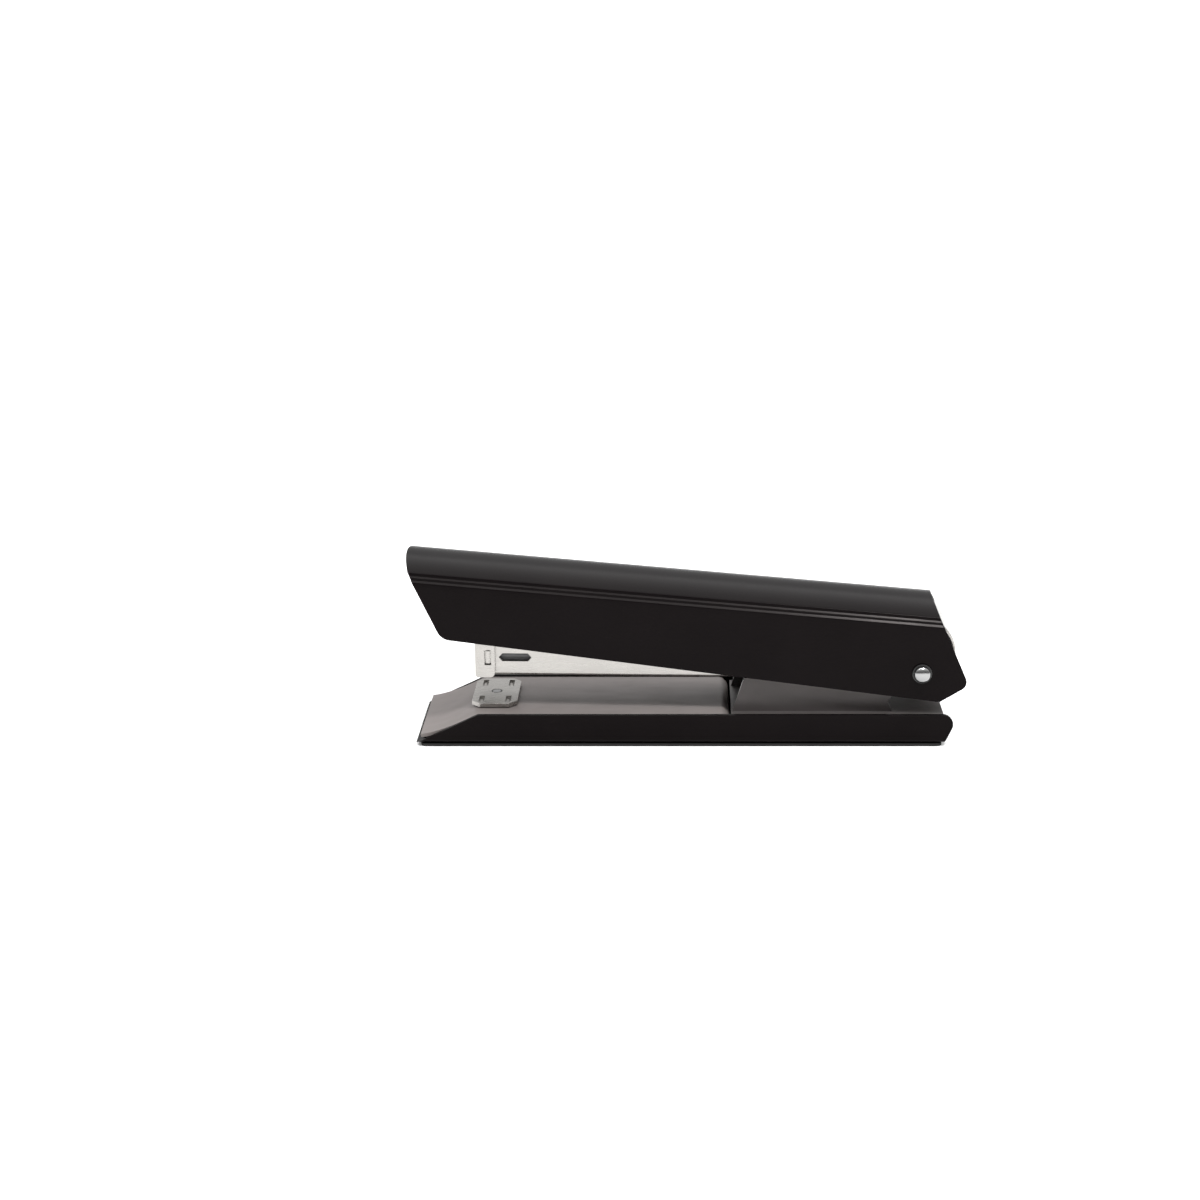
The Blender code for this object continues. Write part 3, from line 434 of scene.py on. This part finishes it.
ANVIL_LOW, ANVIL_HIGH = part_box("anvil_plate")
ANVIL_X = (ANVIL_LOW.x + ANVIL_HIGH.x) / 2
ANVIL_CHAMFER = 2.2 * MM
ANVIL_BORE_R = 1.5 * MM
GROOVE_X = 3.65 * MM
GROOVE_Y = 6.6 * MM
GROOVE_L = 5.0 * MM
GROOVE_R = 0.75 * MM
GROOVE_RISE = 0.15 * MM

PIN_HEAD_R = 2.25 * MM
PIN_HEAD_FACE = 14.5 * MM      # from the middle of the stapler to the head's flat back
PIN_HEAD_SKIRT = 0.45 * MM
PIN_END = -14.4 * MM
CAP_HOLE_R = 1.65 * MM
CAP_HOLE_DEPTH = 0.5 * MM


def make_pad():
    """Rubber pad with rounded corners, a hole for the anvil's button and tread grooves across it."""
    low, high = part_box("base_pad")
    outline = fillet([(low.x, low.y, PAD_CORNER_R), (high.x, low.y, PAD_CORNER_R),
                      (high.x, high.y, PAD_CORNER_R), (low.x, high.y, PAD_CORNER_R)])
    pad = prism("pad_skin", outline, low.z, high.z, "Z")
    combine(pad, rod("hole", (ANVIL_X, 0, 0), 6 * MM, PAD_BUTTON_HOLE_R, "Z"))
    for k in range(TREADS):
        x = TREAD_FRONT + k * TREAD_PITCH
        combine(pad, block("tread", (x, -TREAD_HALF_L, -CUT),
                           (x + TREAD_WIDTH, TREAD_HALF_L, TREAD_DEPTH)))
    dress(pad, "base_pad", "base", RUBBER, edge=0.12 * MM)


def tray_side():
    """Side outline of the tray: sloping sharp front, rounded and raked rear."""
    return fillet([
        (BASE_FRONT, TRAY_BOTTOM, 0.0),
        (FOOT_REAR, TRAY_BOTTOM, 0.3 * MM),
        (BASE_REAR + REAR_LEAN, TRAY_TOP, 2.8 * MM),
        (SLOPE_END, TRAY_TOP, 1.5 * MM),
    ])


def make_tray():
    """Folded tray with rounded bends under its walls."""
    outline = channel(BASE_HALF_W, TRAY_BOTTOM, TRAY_TOP + CUT, SHEET, 1.3 * MM)
    tray = prism("tray_skin", outline, BASE_FRONT - CUT, BASE_REAR + CUT, "X")
    side = prism("side", tray_side(), -BASE_HALF_W - CUT, BASE_HALF_W + CUT)
    combine(tray, side, "INTERSECT")
    combine(tray, rod("hole", (ANVIL_X, 0, TRAY_BOTTOM), 4 * MM, TRAY_BUTTON_HOLE_R, "Z"))
    for x in RIVETS_X:
        combine(tray, rod("hole", (x, 0, TRAY_BOTTOM), 4 * MM, PIN_HOLE_R, "Z", 32))
    dress(tray, "base_tray", "base", BLACK, edge=0.22 * MM)


def deck_line(steps=28):
    """The deck's middle line: hollow ramp, flat top and turned-down rear lip, in x and z."""
    foot = DECK_FOOT + SHEET / 2
    top = DECK_TOP - SHEET / 2
    ramp = []
    for k in range(steps + 1):
        share = k / steps
        ramp.append((RAMP_FRONT + (RAMP_REAR - RAMP_FRONT) * k / steps,
                     foot + (top - foot) * share ** RAMP_HOLLOW))
    rear = DECK_HIGH.x - 1.3 * MM
    lip = [
        (rear - 1.3 * MM, top),
        (rear - 0.8 * MM, top - 0.10 * MM),
        (rear + 0.3 * MM, top - 1.15 * MM),
        (rear + 0.48 * MM, top - 1.5 * MM),
        (rear + 0.8 * MM, top - 3.3 * MM),
    ]
    return ramp + lip


def make_deck():
    """Grey deck: hollow front ramp, flat top, side flanges folded down with a soft bend."""
    half = DECK_HIGH.y
    skin = strip("deck_skin", deck_line(), SHEET, half)
    back, middle = DECK_HIGH.x - 2 * MM, DECK_TOP - SHEET / 2
    wall = [(FLANGE_FRONT, DECK_FOOT), (back, DECK_FOOT), (back, middle), (FLANGE_FRONT, middle)]
    for side in (-1, 1):
        low, high = sorted((side * (half - FLANGE_INSET), side * (half - SHEET)))
        combine(skin, prism("flange", wall, low, high), "UNION")
    combine(skin, rod("hole", (ANVIL_X, 0, DECK_TOP), 6 * MM, STEM_HOLE_R, "Z"))
    dress(skin, "base_deck", "base", GREY, edge=0.3 * MM, angle=40)


def ear_outline():
    """Side outline of the bracket's ears: raked front edge, boss round the pin, cut-away heel."""
    boss = arc((PIN.x, PIN.z), BOSS_R, 100, -90, 32)
    return fillet([
        (12.6 * MM, BRACKET_TOP - SHEET / 2, 0.0),
        (56.8 * MM, BRACKET_TOP - SHEET / 2, 0.0),
        (55.4 * MM, 11.0 * MM, 0.6 * MM),
        (57.5 * MM, 14.4 * MM, 0.6 * MM),
    ]) + boss[::-1] + [(50.0 * MM, 21.5 * MM), (17.0 * MM, 18.4 * MM), (15.6 * MM, 17.0 * MM)]


def make_bracket():
    """Hinge bracket: folded floor and two ears, with a rounded fold at their foot."""
    low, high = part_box("hinge_bracket")
    section = channel(high.y, low.z, BRACKET_TOP, SHEET, 1.2 * MM, up=False)
    bracket = prism("bracket_skin", section, low.x, high.x, "X")
    for side in (-1, 1):
        near, far = sorted((side * EAR_OUT, side * (EAR_OUT - EAR_T)))
        combine(bracket, prism("ear", ear_outline(), near, far), "UNION")
    combine(bracket, rod("bore", PIN, 60 * MM, PIN_HOLE_R))
    for x in RIVETS_X:
        combine(bracket, rod("hole", (x, 0, BRACKET_TOP), 6 * MM, PIN_HOLE_R, "Z", 32))
    dress(bracket, "hinge_bracket", "base", DARK, edge=0.35 * MM, angle=40)


def make_anvil():
    """Anvil plate with clipped corners and four pressed, round-bottomed grooves."""
    half_l, half_w, top = ANVIL_HIGH.x - ANVIL_X, ANVIL_HIGH.y, ANVIL_HIGH.z
    corners = []
    for sx, sy in ((-1, -1), (1, -1), (1, 1), (-1, 1)):
        pair = [(ANVIL_X + sx * (half_l - ANVIL_CHAMFER), sy * half_w, 0.35 * MM),
                (ANVIL_X + sx * half_l, sy * (half_w - ANVIL_CHAMFER), 0.35 * MM)]
        corners += pair if sx * sy < 0 else pair[::-1]
    plate = prism("anvil_skin", fillet(corners, 4), ANVIL_LOW.z, top, "Z")
    combine(plate, rod("bore", (ANVIL_X, 0, ANVIL_LOW.z), 6 * MM, ANVIL_BORE_R, "Z"))
    for sx in (-1, 1):
        for sy in (-1, 1):
            middle = (ANVIL_X + sx * GROOVE_X, sy * GROOVE_Y, top + GROOVE_RISE)
            combine(plate, rod("groove", middle, GROOVE_L, GROOVE_R, "Y", 32))
    dress(plate, "anvil_plate", "anvil", NICKEL, edge=0.18 * MM)


def make_pin_heads():
    """The hinge pin with its domed chrome head on the near side, and its cap on the far side."""
    face, radius = PIN_HEAD_FACE, PIN_HEAD_R
    pin_tail = [(radius, face), (PIN_R, face), (PIN_R, PIN_END),
                (PIN_R - 0.3 * MM, PIN_END - 0.3 * MM), (0.0, PIN_END - 0.3 * MM)]
    cap_tail = [(radius, face), (CAP_HOLE_R, face), (CAP_HOLE_R, face + CAP_HOLE_DEPTH),
                (0.0, face + CAP_HOLE_DEPTH)]
    for node, name, sign, tail in (("hinge_pin", "pin_head", -1, pin_tail),
                                   ("pin_cap", "cap_head", 1, cap_tail)):
        low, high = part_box(node)
        tip = max(abs(low.y), abs(high.y))
        dome = [(radius * sin(t), face + PIN_HEAD_SKIRT + (tip - face - PIN_HEAD_SKIRT) * cos(t))
                for t in (pi / 2 * k / 16 for k in range(17))]
        head = turned(name, dome + tail)
        turn = Matrix.Translation(PIN) @ Matrix.Rotation(-sign * pi / 2, 4, "X")
        dress(head, node, "base", CHROME, turn, edge=0.08 * MM)


# ---------------------------------------------------------------- magazine

CHANNEL_FRONT = -121.2 * MM
CHANNEL_REAR = 7 * MM
CHANNEL_OUT = 7.5 * MM
CHANNEL_T = 0.8 * MM
CHANNEL_BOTTOM = -3.95 * MM
CHANNEL_TOP = 9.7 * MM
EXIT_REAR = -119.9 * MM
LUG_LOW = Vector((-119.1 * MM, 7.2 * MM, -0.2 * MM))
LUG_HIGH = Vector((-118.1 * MM, 8.3 * MM, 3.3 * MM))
GUIDE_FRONT = -122.3 * MM
GUIDE_REAR = -116.7 * MM
GUIDE_BOTTOM = -4.2 * MM
GUIDE_TOP = 10.6 * MM
GUIDE_T = 0.8 * MM
GUIDE_SLOT_X = (-119.5 * MM, -117.7 * MM)
GUIDE_SLOT_Z = (-0.6 * MM, 3.7 * MM)
WINDOW_X = (-115.7 * MM, -106.7 * MM)
WINDOW_Z = (0.2 * MM, 2.5 * MM)
CROSS_X = -10.0 * MM
CROSS_HOLE_R = 1.2 * MM
ROD_Z = 0.1 * MM
ROD_R = 1.1 * MM
RAIL_OUT = 5.6 * MM
RAIL_TOP = 3.1 * MM
RAIL_REAR = -4.0 * MM
RAIL_SLOT_X = (-117.5 * MM, -16.0 * MM)
RAIL_SLOT_HALF_W = 1.7 * MM
FLOOR_TOP = CHANNEL_BOTTOM + CHANNEL_T
FOLLOWER_FRONT = -119.3 * MM
FOLLOWER_L = 13.4 * MM
FOLLOWER_OUT = 6.4 * MM
STEM_X = (FOLLOWER_FRONT + 4 * MM, FOLLOWER_FRONT + 10 * MM)
STEM_HALF_W = 1.3 * MM
FLUTE_R = 1.2 * MM
FLUTE_OUT = 0.95 * MM
FLUTE_Z = 1.35 * MM
STOP_FRONT = -14.8 * MM
LONG_COIL = {"radius": 1.9 * MM, "wire": 0.28 * MM, "turns": 21}
SHORT_COIL = {"radius": 2.9 * MM, "wire": 0.3 * MM, "turns": 4}


def make_channel():
    """Nickel channel with rounded bends, a six-sided window and a lug in each side."""
    outline = channel(CHANNEL_OUT, CHANNEL_BOTTOM, CHANNEL_TOP + CUT, CHANNEL_T, 1.0 * MM)
    body = prism("channel_skin", outline, CHANNEL_FRONT, CHANNEL_REAR, "X")
    for side in (-1, 1):
        near, far = sorted((side * LUG_LOW.y, side * LUG_HIGH.y))
        combine(body, block("lug", (LUG_LOW.x, near, LUG_LOW.z), (LUG_HIGH.x, far, LUG_HIGH.z)), "UNION")
    boss = arc((0.0, 0.0), BOSS_R, 90, degrees(asin(CHANNEL_BOTTOM / BOSS_R)), 32)
    side = [(CHANNEL_FRONT - CUT, CHANNEL_BOTTOM - CUT), (boss[-1][0], CHANNEL_BOTTOM - CUT),
            *boss[::-1], (-9.0 * MM, 5.2 * MM), (-16.0 * MM, CHANNEL_TOP),
            (CHANNEL_FRONT - CUT, CHANNEL_TOP)]
    combine(body, prism("side", side, -THROUGH, THROUGH), "INTERSECT")
    front, rear = WINDOW_X
    foot, head = WINDOW_Z
    middle = (foot + head) / 2
    window = fillet([(front, middle, 0.2 * MM), (front + 1 * MM, foot, 0.3 * MM),
                     (rear - 1 * MM, foot, 0.3 * MM), (rear, middle, 0.2 * MM),
                     (rear - 1 * MM, head, 0.3 * MM), (front + 1 * MM, head, 0.3 * MM)], 4)
    combine(body, prism("window", window, -THROUGH, THROUGH))
    inner = CHANNEL_OUT - CHANNEL_T
    combine(body, block("exit", (CHANNEL_FRONT - CUT, -inner, CHANNEL_BOTTOM - CUT),
                        (EXIT_REAR, inner, FLOOR_TOP + 0.1 * MM)))
    combine(body, rod("bore", (0, 0, 0), 60 * MM, PIN_HOLE_R))
    combine(body, rod("cross", (CROSS_X, 0, ROD_Z), 60 * MM, CROSS_HOLE_R))
    dress(body, "magazine_channel", "magazine", NICKEL, IN_MAGAZINE, edge=0.12 * MM)


def make_front_guide():
    """Front guide: a cap wrapped round the channel, rounded upright edges, a slot in each side."""
    inner = CHANNEL_OUT + GAP
    out = inner + GUIDE_T
    face = GUIDE_FRONT + GUIDE_T
    plan = fillet([
        (GUIDE_FRONT, -out, 1.3 * MM),
        (GUIDE_REAR, -out, 0.0),
        (GUIDE_REAR, -inner, 0.0),
        (face, -inner, 0.5 * MM),
        (face, inner, 0.5 * MM),
        (GUIDE_REAR, inner, 0.0),
        (GUIDE_REAR, out, 0.0),
        (GUIDE_FRONT, out, 1.3 * MM),
    ])
    guide = prism("guide_skin", plan, GUIDE_BOTTOM - CUT, GUIDE_TOP + CUT, "Z")
    notch_x, notch_z = GUIDE_REAR - 0.05 * MM, GUIDE_BOTTOM + 1.4 * MM
    side = fillet([
        (GUIDE_FRONT - CUT, GUIDE_BOTTOM, 0.0),
        (GUIDE_FRONT - CUT, GUIDE_TOP, 0.0),
        (GUIDE_REAR + CUT, GUIDE_TOP, 0.0),
        (GUIDE_REAR + CUT, notch_z, 0.0),
        (notch_x, notch_z, 0.0),
        (notch_x, GUIDE_BOTTOM, 1.3 * MM),
    ])
    combine(guide, prism("side", side, -THROUGH, THROUGH), "INTERSECT")
    combine(guide, block("slot", (GUIDE_SLOT_X[0], -THROUGH, GUIDE_SLOT_Z[0]),
                         (GUIDE_SLOT_X[1], THROUGH, GUIDE_SLOT_Z[1])))
    dress(guide, "front_guide", "magazine", NICKEL, IN_MAGAZINE, edge=0.14 * MM)


def make_rail():
    """Inner rail with a rounded top and a slot along it."""
    outline = channel(RAIL_OUT, FLOOR_TOP + GAP, RAIL_TOP, CHANNEL_T, 1.0 * MM, up=False)
    rail = prism("rail_skin", outline, EXIT_REAR + GAP, RAIL_REAR, "X")
    front, rear = RAIL_SLOT_X
    slot = fillet([(front, -RAIL_SLOT_HALF_W, 1.2 * MM), (rear, -RAIL_SLOT_HALF_W, 1.2 * MM),
                   (rear, RAIL_SLOT_HALF_W, 1.2 * MM), (front, RAIL_SLOT_HALF_W, 1.2 * MM)])
    combine(rail, prism("slot", slot, 0.0, RAIL_TOP + CUT, "Z"))
    combine(rail, rod("cross", (CROSS_X, 0, ROD_Z), 60 * MM, CROSS_HOLE_R))
    dress(rail, "inner_rail", "magazine", DULL, IN_MAGAZINE, edge=0.1 * MM)


def make_follower():
    """Follower: a rounded saddle over the rail, with a ring on the rod and a flute in each side."""
    front, back = FOLLOWER_FRONT, FOLLOWER_FRONT + FOLLOWER_L
    top = RAIL_TOP + 1.5 * MM
    outline = channel(FOLLOWER_OUT, FLOOR_TOP + GAP, top, 0.5 * MM, 0.9 * MM, up=False)
    saddle = prism("follower_skin", outline, front, back, "X")
    filling = FOLLOWER_OUT - 1 * MM
    combine(saddle, block("top", (front, -filling, RAIL_TOP + GAP), (back, filling, top - 0.2 * MM)),
            "UNION")
    combine(saddle, block("stem", (STEM_X[0], -STEM_HALF_W, ROD_Z),
                          (STEM_X[1], STEM_HALF_W, RAIL_TOP + 1 * MM)), "UNION")
    ring_x = sum(STEM_X) / 2
    ring_l = STEM_X[1] - STEM_X[0]
    combine(saddle, rod("ring", (ring_x, 0, ROD_Z - 0.15 * MM), ring_l, 2.1 * MM, "X"), "UNION")
    combine(saddle, rod("bore", (ring_x, 0, ROD_Z), 20 * MM, ROD_R + 0.15 * MM, "X"))
    for side in (-1, 1):
        middle = ((front + back) / 2, side * (FOLLOWER_OUT + FLUTE_OUT), FLUTE_Z)
        combine(saddle, rod("flute", middle, FOLLOWER_L + CUT, FLUTE_R, "X"))
    dress(saddle, "follower", "pusher", PUSHER, IN_MAGAZINE, edge=0.1 * MM)


def make_springs():
    """The two coil springs, of round wire, each wound between its seats."""
    start = STEM_X[1] + GAP + LONG_COIL["wire"]
    end = STOP_FRONT - LONG_COIL["wire"]
    follower_coil = coil("follower_coil", (start, 0, ROD_Z), (end, 0, ROD_Z), LONG_COIL,
                         IN_MAGAZINE, "magazine", "follower_spring")
    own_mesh(follower_coil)
    low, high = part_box("anvil_spring")
    anvil_coil = coil("anvil_coil", (ANVIL_X, 0, low.z + SHORT_COIL["wire"]),
                      (ANVIL_X, 0, high.z - SHORT_COIL["wire"]), SHORT_COIL,
                      IN_BASE, "base", "anvil_spring")
    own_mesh(anvil_coil)


# ---------------------------------------------------------------- handle

RIDGE_Z = 18.6 * MM
CROWN_RISE = 2.9 * MM
CROWN_HALF_W = 12.4 * MM
CROWN_EDGE_Z = RIDGE_Z - CROWN_RISE
CROWN_R = (CROWN_HALF_W ** 2 + CROWN_RISE ** 2) / (2 * CROWN_RISE)
WALL_TOP_Z = CROWN_EDGE_Z - 4.0 * MM
COVER_HALF_W = 13.8 * MM
COVER_SKIRT = -12.0 * MM       # below the side outline's lowest point
NOSE_TOP_X = -142.8 * MM
NOSE_FOOT = (-131.0 * MM, -2.0 * MM)
HEEL_FRONT = (5.8 * MM, -7.9 * MM)
HEEL_REAR = (13.25 * MM, -2.5 * MM)
REAR_TOP_X = 1.7 * MM
NOSE_SLOPE = (NOSE_FOOT[0] - NOSE_TOP_X) / (NOSE_FOOT[1] - RIDGE_Z)
REAR_RAKE = (HEEL_REAR[0] - REAR_TOP_X) / (HEEL_REAR[1] - RIDGE_Z)
PLATE_TOP = 14.0 * MM
PLATE_FOOT = 4.4 * MM
PLATE_BULGE = 1.5 * MM
PLATE_INSET = 0.9 * MM
PLATE_T = 0.7 * MM
PLATE_HALF_W = 11.2 * MM


def crown_line(radius, half_width, steps):
    """Half of an arc about the crown's centre, from the middle of the handle outwards."""
    line = []
    for k in range(steps + 1):
        y = half_width * k / steps
        line.append((y, RIDGE_Z - CROWN_R + (radius ** 2 - y ** 2) ** 0.5))
    return line


def cover_line():
    """Half of the cover's outer cross-section in y and z: crown, two beads, and the side wall."""
    crown = crown_line(CROWN_R, CROWN_HALF_W, 24)[:-1]
    beads = fillet([
        (*crown[-1], 0.0),
        (CROWN_HALF_W, CROWN_EDGE_Z, 0.32 * MM),
        (CROWN_HALF_W + 0.05 * MM, CROWN_EDGE_Z - 0.75 * MM, 0.14 * MM),
        (CROWN_HALF_W + 0.5 * MM, CROWN_EDGE_Z - 1.25 * MM, 0.24 * MM),
        (CROWN_HALF_W + 0.5 * MM, CROWN_EDGE_Z - 1.8 * MM, 0.14 * MM),
        (CROWN_HALF_W + 1.05 * MM, CROWN_EDGE_Z - 2.4 * MM, 0.45 * MM),
        (CROWN_HALF_W + 1.15 * MM, WALL_TOP_Z, 0.0),
    ], 5, closed=False)
    return crown[:-1] + beads + [(COVER_HALF_W, COVER_SKIRT)]


def cover_lining():
    """Half of the cover's inner cross-section: crown and side wall, without the beads."""
    crown = crown_line(CROWN_R - SHEET, CROWN_HALF_W - SHEET, 12)
    return crown + [(COVER_HALF_W - 1.15 * SHEET, WALL_TOP_Z), (COVER_HALF_W - SHEET, COVER_SKIRT)]


def handle_side():
    """Side outline of the cover: raked nose, low straight edge, short heel and raked back."""
    above = RIDGE_Z + CUT
    return fillet([
        (NOSE_TOP_X + NOSE_SLOPE * CUT, above, 0.0),
        (*NOSE_FOOT, 4.2 * MM),
        (*HEEL_FRONT, 0.5 * MM),
        (*HEEL_REAR, 2.6 * MM),
        (REAR_TOP_X + REAR_RAKE * CUT, above, 0.0),
    ], 14)


def make_cover():
    """The cover's folded skin: a hollow channel, trimmed to the handle's side outline."""
    outer, inner = cover_line(), cover_lining()
    outline = [(-y, z) for y, z in outer[:0:-1]] + outer
    outline += inner[::-1] + [(-y, z) for y, z in inner[1:]]
    front, back = NOSE_TOP_X - 4 * CUT, HEEL_REAR[0] + 2 * CUT
    cover = prism("cover_skin", outline, front, back, "X")
    combine(cover, prism("side", handle_side(), -THROUGH, THROUGH), "INTERSECT")
    combine(cover, rod("bore", (0, 0, 0), 60 * MM, PIN_HOLE_R))
    dress(cover, "handle_cover", "handle", BLACK, IN_HANDLE, edge=0.2 * MM, angle=40)


def make_end_plate():
    """Curved nickel plate behind the cover's raked end."""
    line = []
    for k in range(25):
        z = PLATE_TOP + (PLATE_FOOT - PLATE_TOP) * k / 24
        edge = REAR_TOP_X + REAR_RAKE * (z - RIDGE_Z)
        line.append((edge - PLATE_INSET + PLATE_BULGE * sin(pi * k / 24), z))
    plate = strip("end_skin", line, PLATE_T, PLATE_HALF_W)
    dress(plate, "handle_end_plate", "handle", NICKEL, IN_HANDLE, edge=0.15 * MM)


# ---------------------------------------------------------------- pieces kept from the CAD

def keep(node, look, edge=0.1 * MM):
    """Keeps a CAD node as it is, with its own material and softly rounded edges."""
    piece = frame["nodes"][node]
    for found in piece.material_slots:
        found.material = look
    if not piece.material_slots:
        piece.data.materials.append(look)
    weld = piece.modifiers.new("weld", "WELD")
    weld.merge_threshold = 1e-6
    step = piece.modifiers.new("edge", "BEVEL")
    step.width = edge
    step.segments = 2
    step.limit_method = "ANGLE"
    step.angle_limit = radians(40)


for make in (make_pad, make_tray, make_deck, make_bracket, make_anvil, make_pin_heads, make_channel,
             make_front_guide, make_rail, make_follower, make_springs, make_cover, make_end_plate):
    make()

for node, look in (("bracket_rivet_front", DULL), ("bracket_rivet_rear", DULL),
                   ("return_spring", STEEL), ("pin_washer_near", PLASTIC), ("pin_washer_far", PLASTIC),
                   ("pin_spacer_near", STEEL), ("pin_spacer_far", STEEL), ("anvil_stem", CHROME),
                   ("guide_rod", CHROME), ("rod_stop", STEEL), ("cross_pin", CHROME),
                   ("handle_frame", NICKEL), ("driver_blade", STEEL), ("handle_spring", STEEL),
                   ("driver_rivet", CHROME), ("spring_rivet", CHROME)):
    keep(node, look)


# ---------------------------------------------------------------- floor, light and camera

DIM_SIDE = 0.35                     # the room's brightness behind the camera
BRIGHT_SIDE = 0.66                  # and behind the stapler
OVERHEAD = 0.85                     # how much brighter it is above
BACKDROP = 1.2                      # the plain white that the view sees behind everything
VIEW_PITCH = radians(18.6)          # how far the view looks down on the stapler
VIEW_DISTANCE = 0.6
VIEW_TARGET = Vector((0.0, 0.0, 0.0232))
LENS = 64.8                         # focal length and sensor width, in millimetres
SENSOR = 36.0
OFF_RIGHT = 0.0717                  # the stapler stands this share of the frame right of the middle
OFF_DOWN = 0.0391                   # and this share below it


def make_floor():
    """A wide pale floor."""
    mesh = bpy.data.meshes.new("floor")
    shape = bmesh.new()
    bmesh.ops.create_grid(shape, x_segments=1, y_segments=1, size=12.0)
    shape.to_mesh(mesh)
    shape.free()
    floor = new_object("floor", mesh)
    look = bpy.data.materials.new("floor")
    look.use_nodes = True
    shader = look.node_tree.nodes["Principled BSDF"]
    shader.inputs["Base Color"].default_value = (0.93, 0.93, 0.93, 1.0)
    shader.inputs["Roughness"].default_value = 0.9
    shader.inputs["Specular IOR Level"].default_value = 0.0
    mesh.materials.append(look)


def softbox(name, place, aim, size, power):
    """A rectangular soft light pointed at a place."""
    data = bpy.data.lights.new(name, "AREA")
    data.shape = "RECTANGLE"
    data.size, data.size_y = size
    data.energy = power
    made = bpy.data.objects.new(name, data)
    made.location = place
    made.rotation_euler = (Vector(aim) - Vector(place)).to_track_quat("-Z", "Y").to_euler()
    bpy.context.scene.collection.objects.link(made)


def make_world():
    """A white room, bright overhead and dim behind the camera, with a plain white backdrop."""
    world = bpy.data.worlds.new("studio")
    world.use_nodes = True
    nodes, links = world.node_tree.nodes, world.node_tree.links
    room = nodes["Background"]
    where = nodes.new("ShaderNodeTexCoord")
    split = nodes.new("ShaderNodeSeparateXYZ")
    links.new(where.outputs["Generated"], split.inputs["Vector"])
    total = nodes.new("ShaderNodeMath")
    for k, (way, start, end, low, high) in enumerate((("Y", -0.7, 0.25, DIM_SIDE, BRIGHT_SIDE),
                                                      ("Z", 0.25, 0.70, 0.0, OVERHEAD))):
        fade = nodes.new("ShaderNodeMapRange")
        fade.interpolation_type = "SMOOTHSTEP"
        fade.inputs["From Min"].default_value = start
        fade.inputs["From Max"].default_value = end
        fade.inputs["To Min"].default_value = low
        fade.inputs["To Max"].default_value = high
        links.new(split.outputs[way], fade.inputs["Value"])
        links.new(fade.outputs["Result"], total.inputs[k])
    links.new(total.outputs["Value"], room.inputs["Strength"])
    backdrop = nodes.new("ShaderNodeBackground")
    backdrop.inputs["Strength"].default_value = BACKDROP
    seen = nodes.new("ShaderNodeLightPath")
    mix = nodes.new("ShaderNodeMixShader")
    for background in (room, backdrop):
        background.inputs["Color"].default_value = (1.0, 1.0, 1.0, 1.0)
    links.new(seen.outputs["Is Camera Ray"], mix.inputs["Fac"])
    links.new(room.outputs["Background"], mix.inputs[1])
    links.new(backdrop.outputs["Background"], mix.inputs[2])
    links.new(mix.outputs["Shader"], nodes["World Output"].inputs["Surface"])
    bpy.context.scene.world = world


def make_light():
    """The room, a wide softbox above and behind, and two narrow ones for the shoulder's beads."""
    make_world()
    softbox("top", (-0.1, 0.50, 0.90), (0, 0, 0.02), (1.3, 0.9), 6.0)
    softbox("ribs", (0.0, -0.277, 0.62), (0, 0, 0.03), (0.7, 0.09), 2.2)
    softbox("rib_end", (0.215, -0.277, 0.62), (0.05, 0, 0.04), (0.10, 0.09), 3.0)
    bpy.context.scene.view_settings.view_transform = "Standard"


def make_camera():
    """A camera in front of the near side, looking a little down, with the stapler low on its right."""
    data = bpy.data.cameras.new("camera")
    data.lens = LENS
    data.sensor_width = SENSOR
    made = bpy.data.objects.new("camera", data)
    made.location = VIEW_TARGET + VIEW_DISTANCE * Vector((0, -cos(VIEW_PITCH), sin(VIEW_PITCH)))
    data.shift_x = -OFF_RIGHT
    data.shift_y = OFF_DOWN
    made.rotation_euler = (pi / 2 - VIEW_PITCH, 0.0, 0.0)
    bpy.context.scene.collection.objects.link(made)
    bpy.context.scene.camera = made


make_floor()
make_light()
make_camera()
